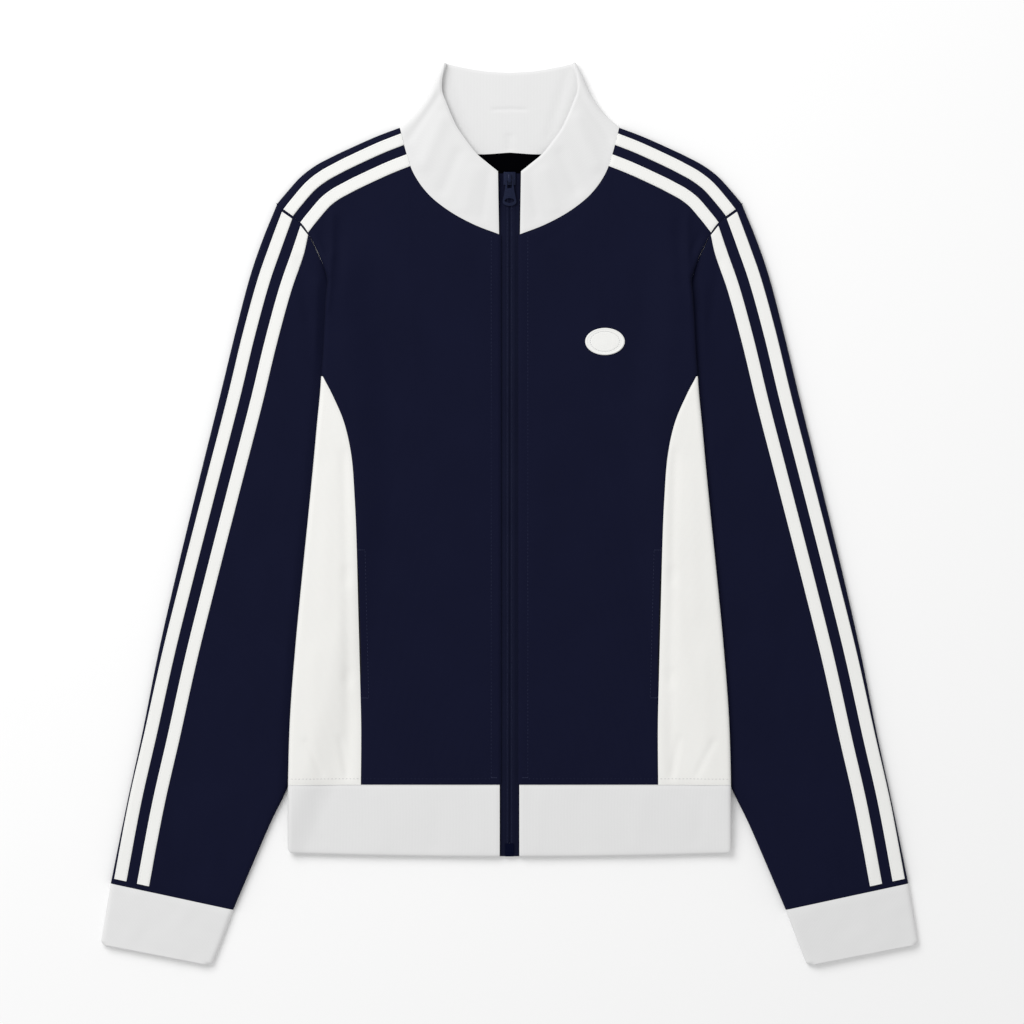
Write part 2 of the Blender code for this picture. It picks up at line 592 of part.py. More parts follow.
def plate(name, outlines, thickness, colour, collection):
    """A flat outline with holes, extruded about its own plane."""
    curve = bpy.data.curves.new(name, "CURVE")
    curve.dimensions = "2D"
    curve.fill_mode = "BOTH"
    curve.extrude = thickness / 2.0 * MM
    for outline in outlines:
        spline = curve.splines.new("POLY")
        spline.points.add(len(outline) - 1)
        for point, (x, y) in zip(spline.points, outline):
            point.co = (x * MM, y * MM, 0.0, 1.0)
        spline.use_cyclic_u = True
    curve.materials.append(material(colour, 0.35, 0.8))
    made = bpy.data.objects.new(name, curve)
    collection.objects.link(made)
    return made


def zip_parts(collection, helpers):
    """Two tapes, the closed coil, the bottom box and the slider."""
    z = ZIP
    for name, side in (("left", 1), ("right", -1)):
        outline = ((z["tape in"], z["coil bottom"]), (z["tape in"], z["tape top"]),
                   (z["tape out"], z["tape top"] - 4.0), (z["tape out"], z["tape bottom"]),
                   (z["box half"] + 0.4, z["tape bottom"]), (z["box half"] + 0.4, z["coil bottom"]))
        tape = plate("zip_tape_" + name, [[(x * side, y) for x, y in outline]],
                     z["tape high"] - z["tape low"], "zip navy", collection)
        tape.location = (0.0, 0.0, (z["tape high"] + z["tape low"]) / 2.0 * MM)
    block("zip_coil", (-z["coil half"], z["coil bottom"], z["coil low"]),
          (z["coil half"], z["coil top"], z["coil high"]), "zip navy", collection)
    block("zip_box", (-z["box half"], z["box bottom"], z["box low"]),
          (z["box half"], z["coil bottom"] - 0.4, z["box high"]), "zip navy", collection)
    s = SLIDER
    body = block("zip_slider", (-s["half"], s["bottom"], s["plate"]),
                 (s["half"], s["top"], s["plate top"]), "zip metal", collection, 0.35, 0.8)
    joined = (
        ("slider_low", (-s["half"], s["bottom"], s["low"]), (s["half"], s["top"], s["low top"])),
        ("slider_neck", (-s["neck half"], s["neck from"], s["low"] + 0.2),
         (s["neck half"], s["top"] - 0.4, s["plate top"] - 0.2)),
        ("bridge_leg_a", (-s["bridge half"], s["bridge bottom"], s["plate top"] - 0.3),
         (s["bridge half"], s["bridge bottom"] + s["bridge leg"], s["bridge high"] - 0.1)),
        ("bridge_leg_b", (-s["bridge half"], s["bridge top"] - s["bridge leg"], s["plate top"] - 0.3),
         (s["bridge half"], s["bridge top"], s["bridge high"] - 0.1)),
        ("bridge_bar", (-s["bridge half"], s["bridge bottom"] - 0.1, s["bridge window"]),
         (s["bridge half"], s["bridge top"] + 0.1, s["bridge high"])))
    for name, low, high in joined:
        extra = block(name, low, high, "zip metal", helpers, 0.35, 0.8)
        extra.hide_render = True
        extra.display_type = "WIRE"
        union = body.modifiers.new(name, "BOOLEAN")
        union.operation = "UNION"
        union.solver = "EXACT"
        union.object = extra


def pull_tab(collection):
    """The tab hangs on the slider's bridge by the bar at its upper end."""
    p = PULL
    turn = np.linspace(0.0, math.pi, 9)
    end = [(p["end half"] * math.cos(a), -(p["length"] - 4.0) - 4.0 * math.sin(a)) for a in turn]
    left = [(-p["waist half"], -p["waist at"]), (-p["head half"], -p["bar"] - 4.0), (-p["head half"], p["bar"])]
    outline = end + left + [(-x, y) for x, y in left[::-1]]
    slot = [(x * p["slot half"], -y) for x, y in (
        (-1, p["bar"]), (1, p["bar"]), (1, p["slot end"]), (-1, p["slot end"]))]
    half = (p["eye to"] - p["eye from"]) / 2.0
    eye_y = -(p["eye from"] + half)
    ring = np.linspace(0.0, 2.0 * math.pi, 16, endpoint=False)
    eye = [(p["eye half"] * math.cos(a), eye_y + half * math.sin(a)) for a in ring]
    tab = plate("zip_pull", [outline, slot, eye], p["wall"], "zip metal", collection)
    hinge = bpy.data.objects.new("pull_axis", None)
    hinge.location = (0.0, p["axis y"] * MM, p["axis z"] * MM)
    hinge.rotation_euler = (math.radians(p["tilt"]), 0.0, 0.0)
    collection.objects.link(hinge)
    tab.parent = hinge


def main():
    for old in list(bpy.data.objects):
        bpy.data.objects.remove(old)
    jacket = bpy.data.collections.new("track_jacket")
    helpers = bpy.data.collections.new("helpers")
    for group in (jacket, helpers):
        bpy.context.scene.collection.children.link(group)
    back(jacket)
    fronts(jacket)
    side_panels(jacket)
    sleeves(jacket)
    shoulder_stripes(jacket)
    collar(jacket)
    hem_band(jacket)
    cuffs(jacket)
    pockets(jacket)
    patch(jacket)
    zip_parts(jacket, helpers)
    pull_tab(jacket)


main()
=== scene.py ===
import math

import bpy
import numpy as np
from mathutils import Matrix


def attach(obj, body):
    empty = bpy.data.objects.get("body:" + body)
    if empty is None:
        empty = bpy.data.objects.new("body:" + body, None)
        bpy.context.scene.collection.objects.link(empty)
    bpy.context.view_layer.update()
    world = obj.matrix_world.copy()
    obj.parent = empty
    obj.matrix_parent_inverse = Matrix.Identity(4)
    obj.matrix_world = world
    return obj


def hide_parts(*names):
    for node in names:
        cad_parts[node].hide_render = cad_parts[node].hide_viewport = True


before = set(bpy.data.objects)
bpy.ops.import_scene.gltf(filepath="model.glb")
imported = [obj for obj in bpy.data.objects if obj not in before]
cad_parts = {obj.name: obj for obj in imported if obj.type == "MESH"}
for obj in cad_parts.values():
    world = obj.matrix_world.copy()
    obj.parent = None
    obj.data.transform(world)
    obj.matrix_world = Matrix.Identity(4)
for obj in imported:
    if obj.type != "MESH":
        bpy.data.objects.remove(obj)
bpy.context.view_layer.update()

mm = 0.001
clothWall = 1.0
ribWall = 2.2
seamGap = 0.05          # each piece stops this far short of its seam
foldRadius = 4.2
frontEdge = 7.8
hemSeamY = -240.0

# half outlines in mm: x out from the centre front, y along the jacket
outline = {
    "shoulder": ((205.6, 274.9), (198.6, 283.3), (185.3, 298.1), (172.0, 308.3), (158.7, 315.5),
                 (145.4, 321.9), (118.8, 333.8), (97.2, 342.0)),
    "armhole": ((205.6, 274.9), (203.8, 271.7), (189.9, 261.4), (181.7, 253.2), (173.0, 238.8),
                (165.2, 221.0), (160.9, 206.3)),
    "armholeHidden": ((160.9, 206.3), (155.0, 160.0), (150.2, 118.6)),
    "sideFold": ((160.9, 206.3), (162.7, 188.0), (163.9, 165.0), (165.1, 142.0), (166.6, 122.0),
                 (167.9, 104.0), (170.3, 80.0), (173.5, 45.0), (177.9, 0.0), (184.0, -60.0),
                 (189.7, -120.0), (194.2, -180.0), (196.0, -240.0), (196.3, -290.0), (196.3, -304.0)),
    "frontSeam": ((165.4, 122.0), (156.0, 104.0), (146.0, 80.0), (139.6, 50.0), (137.0, 15.0),
                  (135.4, -20.0), (133.9, -80.0), (132.4, -140.0), (131.3, -190.0), (131.6, -240.0)),
    "neck": ((97.2, 342.0), (91.4, 319.5), (84.5, 300.5), (71.5, 282.6), (53.0, 267.8),
             (31.5, 256.1), (9.3, 247.5)),
    "backNeck": ((97.2, 342.0), (60.0, 322.5), (28.8, 318.5), (0.0, 320.0)),
    "collarFold": ((97.2, 342.0), (85.5, 352.6), (77.0, 363.2), (70.5, 373.8), (64.3, 388.1), (58.5, 399.4)),
    "flapEdge": ((57.6, 399.4), (60.0, 377.4), (56.0, 364.1), (47.2, 343.7), (37.6, 329.5),
                 (28.8, 318.5), (19.0, 310.2), (10.2, 303.1)),
    "collarBack": ((58.5, 399.4), (45.0, 396.0), (22.0, 392.0), (0.0, 390.7)),
}


def smoothStep(t):
    t = np.clip(t, 0.0, 1.0)
    return t * t * (3.0 - 2.0 * t)


# Catmull-Rom curve: each span blends its four neighbouring points with cubic weights
def smoothRows(points, per):
    points = np.asarray(points, float)
    ends = np.concatenate((2 * points[:1] - points[1:2], points, 2 * points[-1:] - points[-2:-1]))
    t = (np.arange(per) / per).reshape((1, per) + (1,) * (points.ndim - 1))
    a, b, c, d = (ends[i:len(ends) - 3 + i, None] for i in range(4))
    square, cube = 2 * a - 5 * b + 4 * c - d, 3 * b - a - 3 * c + d
    spans = 0.5 * (2 * b + (c - a) * t + square * t ** 2 + cube * t ** 3)
    return np.concatenate((spans.reshape((-1,) + points.shape[1:]), points[-1:]))


curves = {name: smoothRows(points, 8) for name, points in outline.items()}


def shares(points):
    steps = np.hypot(*np.diff(points, axis=0).T)
    return np.concatenate(([0.0], np.cumsum(steps))) / steps.sum()


def atShares(points, wanted):
    own = shares(points)
    return np.column_stack([np.interp(wanted, own, points[:, i]) for i in range(2)])


# distance to a polyline, and the unit way in from it; on the line itself, its left normal
def edgeFrame(plan, edge):
    best = np.full(plan.shape[:-1], 1e9)
    way = np.zeros(plan.shape)
    for start, end in zip(edge[:-1], edge[1:]):
        run = end - start
        share = np.clip(((plan - start) @ run) / (run @ run), 0.0, 1.0)
        off = plan - (start + share[..., None] * run)
        far = np.hypot(off[..., 0], off[..., 1])
        normal = np.array((-run[1], run[0])) / math.hypot(*run)
        here = np.where((far > 0.02)[..., None], off / np.maximum(far, 1e-9)[..., None], normal)
        nearer = far < best - 1e-6
        best = np.where(nearer, far, best)
        way = np.where(nearer[..., None], here, way)
    return best, way


# a Gaussian valley or ridge
def groove(distance, depth, width):
    return depth * np.exp(-(distance / width) ** 2)


# quarter circle: 0 on the fold, 1 a radius in
def foldShare(distance, radius=foldRadius):
    return np.sqrt(1.0 - (1.0 - np.clip(distance / radius, 0.0, 1.0)) ** 2)


# a few crossed sine waves, each bending the next, so the cloth is never quite flat
def ripple(plan, size, phase):
    x, y = plan[..., 0] / size, plan[..., 1] / size
    bend = np.sin(0.7 * x + 1.9 * y + phase)
    wave = np.sin(1.7 * x + 0.6 * y + bend + 2.1 * phase) + 0.6 * np.sin(2.9 * x - 1.3 * y + 1.4 * bend)
    return wave / 1.6


# soft troughs (depth below 0) and ridges: a Gaussian across a line, fading along it at both ends
def creases(plan, rows):
    lift = np.zeros(plan.shape[:-1])
    for x0, y0, x1, y1, depth, width in rows:
        start, run = np.array((x0, y0)), np.array((x1 - x0, y1 - y0))
        share = ((plan - start) @ run) / (run @ run)
        off = plan - (start + np.clip(share, 0, 1)[..., None] * run)
        far = np.hypot(off[..., 0], off[..., 1])
        ends = smoothStep(share * 4 + 0.6) * smoothStep((1 - share) * 4 + 0.6)
        lift += groove(far, depth, width) * ends
    return lift


# how far the inner wall lies inside the outer one, full at the fold and none a radius in
def foldInset(distance, wall, radius=foldRadius):
    return (wall * (1.0 - np.clip(distance / radius, 0.0, 1.0)))[..., None]


def coons(bottom, top, left, right, across, along, decay=1.0):
    u, v = across[None, :, None], along[:, None, None]
    straight = (1 - v) * bottom[None] + v * top[None]
    leftBend = left[:, None] - ((1 - v) * left[0] + v * left[-1])
    rightBend = right[:, None] - ((1 - v) * right[0] + v * right[-1])
    return straight + (1 - u) ** decay * leftBend + u ** decay * rightBend


def trimmed(plan, edges):
    plan = plan.copy()
    places = {"first": (np.s_[0], np.s_[1]), "last": (np.s_[-1], np.s_[-2]),
              "outer": (np.s_[:, 0], np.s_[:, 1]), "inner": (np.s_[:, -1], np.s_[:, -2])}
    for name in edges:
        edge, beside = places[name]
        along = np.gradient(plan[edge], axis=0)
        normal = np.column_stack((-along[:, 1], along[:, 0]))
        normal /= np.maximum(np.hypot(*normal.T), 1e-6)[:, None]
        reach = (normal * (plan[beside] - plan[edge])).sum(axis=1)
        plan[edge] += normal * (np.minimum(seamGap, 0.4 * np.abs(reach)) * np.sign(reach))[:, None]
    return plan


def finishPiece(piece, body, nodes=()):
    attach(piece, body)
    if nodes:
        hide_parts(*nodes)
    return piece


# closed wall between two grids; the UV map holds real metres across and along the cloth
def wallMesh(name, outer, inner, material, ring=False, mirror=False, paintedShadeInside=None):
    rows, columns = outer.shape[:2]
    index = np.arange(rows * columns).reshape(rows, columns)
    if ring:
        index = np.concatenate((index, index[:, :1]), axis=1)
    top = np.stack((index[:-1, :-1], index[:-1, 1:], index[1:, 1:], index[1:, :-1]), axis=2).reshape(-1, 4)
    edges = [index[0, ::-1], index[-1]]
    if not ring:
        edges += [index[:, 0], index[::-1, -1]]
    under = rows * columns
    rims = [np.column_stack((a[:-1], a[1:], a[1:] + under, a[:-1] + under)) for a in edges]
    faces = np.vstack((top, top[:, ::-1] + under, *rims))
    points = np.concatenate((outer.reshape(-1, 3), inner.reshape(-1, 3))) * mm
    if mirror:
        points = points * (-1.0, 1.0, 1.0)
    across = np.zeros((rows, columns))
    along = np.zeros((rows, columns))
    across[:, 1:] = np.cumsum(np.linalg.norm(np.diff(outer, axis=1), axis=2), axis=1)
    along[1:] = np.cumsum(np.linalg.norm(np.diff(outer, axis=0), axis=2), axis=0)
    across -= across[:, columns // 2:columns // 2 + 1]
    flat = np.stack((across, along), axis=2).reshape(-1, 2) * mm
    mesh = bpy.data.meshes.new(name)
    mesh.from_pydata(points.tolist(), [], faces.tolist())
    uv = mesh.uv_layers.new(name="cloth")
    corners = np.zeros(len(mesh.loops), int)
    mesh.loops.foreach_get("vertex_index", corners)
    uv.data.foreach_set("uv", np.concatenate((flat, flat))[corners].ravel())
    a, b, c = (points[faces[:, n]] for n in range(3))
    d = points[faces[:, 3]]
    volume = (np.einsum("ij,ij->i", a, np.cross(b, c)) + np.einsum("ij,ij->i", a, np.cross(c, d))).sum()
    if volume < 0:
        mesh.flip_normals()
    mesh.validate()
    mesh.shade_smooth()
    mesh.set_sharp_from_angle(angle=math.radians(55))
    mesh.materials.append(material)
    # painted shade: the inner faces can take a second, darker material that stands for the shade falling
    # inside the piece
    if paintedShadeInside:
        mesh.materials.append(paintedShadeInside)
        isInner = np.arange(len(faces)) // len(top) == 1
        mesh.polygons.foreach_set("material_index", isInner.astype(np.int32))
    piece = bpy.data.objects.new(name, mesh)
    bpy.context.scene.collection.objects.link(piece)
    return piece


def gridNormals(grid):
    normal = np.cross(np.gradient(grid, axis=0), np.gradient(grid, axis=1))
    normal *= np.where(normal[..., 2:3] < 0, -1.0, 1.0)
    return normal / np.maximum(np.linalg.norm(normal, axis=2, keepdims=True), 1e-9)


# ---- materials

def addNode(tree, kind, values=(), **settings):
    node = tree.nodes.new(kind)
    for name, value in settings.items():
        setattr(node, name, value)
    for name, value in dict(values).items():
        node.inputs[name].default_value = value
    return node


def newGroup(name, inputs, outputs):
    group = bpy.data.node_groups.new(name, "ShaderNodeTree")
    for label, kind, value in inputs:
        socket = group.interface.new_socket(name=label, in_out="INPUT", socket_type=kind)
        if value is not None:
            socket.default_value = value
    for label, kind in outputs:
        group.interface.new_socket(name=label, in_out="OUTPUT", socket_type=kind)
    return group, group.nodes.new("NodeGroupInput"), group.nodes.new("NodeGroupOutput")


# sine of 2 pi times the coordinate over the pitch
def sineOf(group, coordinate, pitch, shift=None):
    cycles = addNode(group, "ShaderNodeMath", operation="DIVIDE")
    group.links.new(coordinate, cycles.inputs[0])
    group.links.new(pitch, cycles.inputs[1])
    turn = addNode(group, "ShaderNodeMath", {1: 2 * math.pi, 2: 0.0}, operation="MULTIPLY_ADD")
    group.links.new(cycles.outputs[0], turn.inputs[0])
    if shift is not None:
        group.links.new(shift, turn.inputs[2])
    sine = addNode(group, "ShaderNodeMath", operation="SINE")
    group.links.new(turn.outputs[0], sine.inputs[0])
    return sine.outputs[0]


# cloth: ribs across, stitches along, and yarn that wanders a little, to a colour, roughness and normal
def buildClothGroup():
    group, given, put = newGroup(
        "cloth",
        (("Cloth", "NodeSocketVector", None), ("Dark", "NodeSocketColor", None),
         ("Light", "NodeSocketColor", None), ("Rib Pitch", "NodeSocketFloat", 0.0009),
         ("Stitch Pitch", "NodeSocketFloat", 0.0007), ("Fuzz", "NodeSocketFloat", 0.3),
         ("Roughness", "NodeSocketFloat", 0.8), ("Bump", "NodeSocketFloat", 0.2)),
        (("Color", "NodeSocketColor"), ("Roughness", "NodeSocketFloat"), ("Normal", "NodeSocketVector")))
    link = group.links.new
    split = addNode(group, "ShaderNodeSeparateXYZ")
    link(given.outputs["Cloth"], split.inputs[0])
    rib = sineOf(group, split.outputs["X"], given.outputs["Rib Pitch"])
    stitch = sineOf(group, split.outputs["Y"], given.outputs["Stitch Pitch"], rib)
    both = addNode(group, "ShaderNodeMath", {1: 0.45}, operation="MULTIPLY_ADD")
    link(stitch, both.inputs[0])
    link(rib, both.inputs[2])
    fuzz = addNode(group, "ShaderNodeTexNoise", {"Scale": 1900.0, "Detail": 3.0})
    link(given.outputs["Cloth"], fuzz.inputs["Vector"])
    height = addNode(group, "ShaderNodeMath", operation="MULTIPLY_ADD")
    link(fuzz.outputs["Fac"], height.inputs[0])
    link(given.outputs["Fuzz"], height.inputs[1])
    link(both.outputs[0], height.inputs[2])
    shade = addNode(group, "ShaderNodeMapRange", {"From Min": -1.4, "From Max": 1.8})
    link(height.outputs[0], shade.inputs["Value"])
    clouds = addNode(group, "ShaderNodeTexNoise", {"Scale": 14.0, "Detail": 4.0, "Roughness": 0.55})
    link(given.outputs["Cloth"], clouds.inputs["Vector"])
    tone = addNode(group, "ShaderNodeMath", {1: 0.55}, operation="MULTIPLY_ADD")
    link(clouds.outputs["Fac"], tone.inputs[0])
    link(shade.outputs[0], tone.inputs[2])
    ramp = addNode(group, "ShaderNodeMapRange", {"From Min": 0.25, "From Max": 1.2})
    link(tone.outputs[0], ramp.inputs["Value"])
    mix = addNode(group, "ShaderNodeMix", data_type="RGBA")
    link(ramp.outputs[0], mix.inputs["Factor"])
    link(given.outputs["Dark"], mix.inputs["A"])
    link(given.outputs["Light"], mix.inputs["B"])
    link(mix.outputs["Result"], put.inputs["Color"])
    # roughness falls from 0.08 above to 0.06 below the given value as the shade lightens
    base = addNode(group, "ShaderNodeMath", {1: 0.08}, operation="ADD")
    link(given.outputs["Roughness"], base.inputs[0])
    rough = addNode(group, "ShaderNodeMath", {1: -0.14}, operation="MULTIPLY_ADD")
    link(shade.outputs[0], rough.inputs[0])
    link(base.outputs[0], rough.inputs[2])
    link(rough.outputs[0], put.inputs["Roughness"])
    bump = addNode(group, "ShaderNodeBump", {"Distance": 0.00018})
    link(given.outputs["Bump"], bump.inputs["Strength"])
    link(height.outputs[0], bump.inputs["Height"])
    link(bump.outputs["Normal"], put.inputs["Normal"])
    return group


# lacquer: fine grain, a little lighter and rougher where it is rubbed
def buildLacquerGroup():
    group, given, put = newGroup(
        "lacquer",
        (("Place", "NodeSocketVector", None), ("Dark", "NodeSocketColor", None),
         ("Light", "NodeSocketColor", None)),
        (("Color", "NodeSocketColor"), ("Roughness", "NodeSocketFloat"), ("Normal", "NodeSocketVector")))
    link = group.links.new
    grain = addNode(group, "ShaderNodeTexNoise", {"Scale": 900.0, "Detail": 4.0})
    link(given.outputs["Place"], grain.inputs["Vector"])
    mix = addNode(group, "ShaderNodeMix", data_type="RGBA")
    link(grain.outputs["Fac"], mix.inputs["Factor"])
    link(given.outputs["Dark"], mix.inputs["A"])
    link(given.outputs["Light"], mix.inputs["B"])
    link(mix.outputs["Result"], put.inputs["Color"])
    rough = addNode(group, "ShaderNodeMapRange", {"To Min": 0.28, "To Max": 0.46})
    link(grain.outputs["Fac"], rough.inputs["Value"])
    link(rough.outputs[0], put.inputs["Roughness"])
    bump = addNode(group, "ShaderNodeBump", {"Strength": 0.12, "Distance": 0.0001})
    link(grain.outputs["Fac"], bump.inputs["Height"])
    link(bump.outputs["Normal"], put.inputs["Normal"])
    return group


clothGroup = buildClothGroup()
lacquerGroup = buildLacquerGroup()
fabrics = {
    "navyTricot": {"dark": (0.0030, 0.0039, 0.0168), "light": (0.0056, 0.0070, 0.0262), "rough": 0.72,
                   "rib": 0.0010, "stitch": 0.0008, "bump": 0.22, "shine": 0.07, "sheen": 0.012},
    "whiteTricot": {"dark": (0.83, 0.825, 0.80), "light": (0.89, 0.885, 0.86), "rough": 0.8,
                    "rib": 0.0010, "stitch": 0.0008, "bump": 0.16, "shine": 0.2, "sheen": 0.05},
    "whiteRib": {"dark": (0.745, 0.745, 0.745), "light": (0.80, 0.80, 0.80), "rough": 0.86,
                 "rib": 0.0013, "stitch": 0.0010, "bump": 0.10, "shine": 0.2, "sheen": 0.05},
    "stripeTape": {"dark": (0.83, 0.83, 0.81), "light": (0.92, 0.92, 0.90), "rough": 0.82,
                   "rib": 0.0008, "stitch": 0.0016, "bump": 0.22, "shine": 0.2, "sheen": 0.04},
    "pocketCloth": {"dark": (0.020, 0.021, 0.026), "light": (0.035, 0.036, 0.042), "rough": 0.9,
                    "rib": 0.0006, "stitch": 0.0006, "bump": 0.2, "shine": 0.05, "sheen": 0.02},
    "zipTape": {"dark": (0.0028, 0.0036, 0.0150), "light": (0.0085, 0.0105, 0.0300), "rough": 0.62,
                "rib": 0.0006, "stitch": 0.0011, "bump": 0.4, "shine": 0.05, "sheen": 0.01},
    # painted shade: the inside of the back panel, seen down the neck opening, is made near black to stand
    # for the shade that falls inside the jacket there
    "backInsidePaintedShade": {"dark": (0.0008, 0.0008, 0.0014), "light": (0.0012, 0.0012, 0.0020), "rough": 0.95,
                   "rib": 0.0010, "stitch": 0.0008, "bump": 0.1, "shine": 0.0, "sheen": 0.0},
    "navyThread": {"dark": (0.020, 0.025, 0.060), "light": (0.045, 0.055, 0.120), "rough": 0.5,
                   "rib": 0.0005, "stitch": 0.0003, "bump": 0.2, "shine": 0.2, "sheen": 0.02},
    "whiteThread": {"dark": (0.70, 0.70, 0.69), "light": (0.85, 0.85, 0.84), "rough": 0.6,
                    "rib": 0.0005, "stitch": 0.0003, "bump": 0.2, "shine": 0.2, "sheen": 0.02},
}


def newMaterial(name, group, place, socket, values, shine):
    material = bpy.data.materials.new(name)
    material.use_nodes = True
    tree = material.node_tree
    shader = tree.nodes["Principled BSDF"]
    shader.inputs["Specular IOR Level"].default_value = shine
    surface = addNode(tree, "ShaderNodeGroup", node_tree=group)
    for label, value in values.items():
        surface.inputs[label].default_value = value
    kind, settings = place
    coordinates = addNode(tree, kind, **settings)
    tree.links.new(coordinates.outputs[socket], surface.inputs[0])
    tree.links.new(surface.outputs["Color"], shader.inputs["Base Color"])
    tree.links.new(surface.outputs["Roughness"], shader.inputs["Roughness"])
    tree.links.new(surface.outputs["Normal"], shader.inputs["Normal"])
    return material, shader


def buildFabric(name, look):
    values = {"Dark": (*look["dark"], 1.0), "Light": (*look["light"], 1.0), "Rib Pitch": look["rib"],
              "Stitch Pitch": look["stitch"], "Roughness": look["rough"], "Bump": look["bump"]}
    uvMap = ("ShaderNodeUVMap", {"uv_map": "cloth"})
    material, shader = newMaterial(name, clothGroup, uvMap, "UV", values, look["shine"])
    shader.inputs["Sheen Weight"].default_value = look["sheen"]
    shader.inputs["Sheen Roughness"].default_value = 0.45
    return material


def buildHard(name, look):
    values = {"Dark": (*look["dark"], 1.0), "Light": (*look["light"], 1.0)}
    place = ("ShaderNodeTexCoord", {})
    material, shader = newMaterial(name, lacquerGroup, place, "Object", values, 0.3 * look["metallic"])
    shader.inputs["Metallic"].default_value = look["metallic"]
    shader.inputs["Coat Weight"].default_value = look["coat"]
    shader.inputs["Coat Roughness"].default_value = 0.18
    return material


hardLooks = {
    "zipLacquer": {"dark": (0.003, 0.005, 0.020), "light": (0.012, 0.018, 0.052),
                   "metallic": 0.4, "coat": 0.15},
    "boxResin": {"dark": (0.002, 0.003, 0.012), "light": (0.005, 0.006, 0.020),
                 "metallic": 0.0, "coat": 0.0},
}
materials = {name: buildFabric(name, look) for name, look in fabrics.items()}
materials.update({name: buildHard(name, look) for name, look in hardLooks.items()})
print("materials ready")

# ---- body: back, fronts, side panels and hem band share one height

body = {
    "thick": 5.8, "bandThick": 6.0, "lift": 4.6, "ramp": 35.0, "early": 9.0,
    "rippleHigh": 0.16, "rippleSize": 34.0, "seamDip": 0.55, "seamWidth": 1.5,
    "rows": 150, "columns": 84}
frontCreases = (
    # x0, y0, x1, y1, depth, width
    (157.0, 266.0, 157.4, 226.0, 1.3, 3.4),
    (157.4, 230.0, 161.5, 180.0, 1.2, 3.2),
    (149.0, 262.0, 151.0, 200.0, -0.9, 5.0),
    (168.0, 247.0, 160.5, 230.0, -1.1, 2.6),
    (150.0, 150.0, 110.0, 168.0, 0.28, 9.0),
    (140.0, 118.0, 96.0, 106.0, -0.25, 10.0),
    (24.0, 236.0, 60.0, 262.0, -0.35, 6.0),
    (120.0, -160.0, 96.0, -228.0, 0.30, 8.0),
    (70.0, -190.0, 62.0, -236.0, -0.28, 7.0),
    (40.0, -205.0, 34.0, -238.0, 0.25, 6.0),
    (30.0, 120.0, 24.0, -60.0, 0.25, 9.0))
sideCreases = (
    (146.5, 54.0, 143.5, -60.0, -0.9, 4.4),
    (144.5, -50.0, 142.5, -150.0, -1.1, 4.8),
    (143.5, -140.0, 143.0, -234.0, -0.9, 4.4),
    (181.0, -200.0, 165.0, -232.0, -0.9, 2.8),
    (150.0, -198.0, 144.0, -233.0, -0.9, 2.6),
    (172.0, -120.0, 176.0, -225.0, 0.4, 7.0),
    (160.0, 40.0, 164.0, -90.0, 0.35, 7.0))
hemCreases = (
    (120.0, -246.0, 110.0, -296.0, 0.3, 8.0),
    (60.0, -250.0, 66.0, -298.0, -0.25, 9.0),
    (172.0, -248.0, 166.0, -292.0, -0.3, 6.0),
    (28.0, -246.0, 24.0, -298.0, 0.25, 6.0))

sleeveRows = {
    "outer": ((219.0, 242.0), (230.5, 208.0), (243.0, 160.0), (256.6, 104.0), (274.0, 34.0),
              (293.0, -44.0), (310.4, -120.0), (325.0, -193.0), (338.5, -255.0), (353.2, -327.3)),
    "inner": ((148.4, 98.0), (146.6, 70.0), (145.9, 35.0), (147.4, -5.0), (153.3, -50.0),
              (163.0, -105.0), (176.5, -170.0), (193.0, -233.0), (214.0, -279.0), (244.7, -350.7)),
    "margin": (7.6, 7.4, 6.8, 6.9, 6.2, 5.2, 3.7, 2.1, 1.5, 2.6)}

bodySide = np.vstack((curves["armhole"], curves["sideFold"][1:]))[::-1]
hiddenSide = np.vstack((curves["armholeHidden"], np.array(sleeveRows["inner"])))


def sideX(y):
    return np.interp(y, bodySide[:, 1], bodySide[:, 0])


def bodyBase(plan):
    hidden = np.interp(plan[..., 1], hiddenSide[::-1, 1], hiddenSide[::-1, 0]) - body["early"]
    across = smoothStep((plan[..., 0] - hidden + body["ramp"]) / body["ramp"])
    return body["lift"] * across * smoothStep((250.0 - plan[..., 1]) / 44.0)


# half the thickness times a quarter circle at each fold, about a middle that rises over the sleeves
def bodySurface(plan, side, wall=clothWall, thick=None, rows=(), phase=0.0):
    thick = thick or body["thick"]
    toSide, sideWay = edgeFrame(plan, bodySide)
    toShoulder, shoulderWay = edgeFrame(plan, curves["shoulder"])
    tuck = smoothStep((250.0 - plan[..., 1]) / 44.0)
    share = (1.0 - tuck * (1.0 - foldShare(toSide))) * foldShare(toShoulder)
    mid = bodyBase(plan) + thick / 2.0
    calm = smoothStep(toSide / 14.0) * smoothStep(toShoulder / 14.0)
    calm = calm * smoothStep((plan[..., 0] - 4.0) / 18.0)
    if side > 0:
        loose = creases(plan, rows) + body["rippleHigh"] * ripple(plan, body["rippleSize"], phase) * calm
    else:
        loose = np.zeros(plan.shape[:-1])
    outerZ = mid + side * np.maximum(thick / 2.0 * share, 0.16) + side * loose * share
    innerZ = mid + side * np.maximum((thick / 2.0 - wall) * share, 0.16) + side * loose * share
    inner = plan + sideWay * foldInset(toSide, wall * tuck)
    inner = inner + shoulderWay * foldInset(toShoulder, wall * (1.0 - tuck))
    return np.dstack((plan, outerZ)), np.dstack((inner, innerZ))


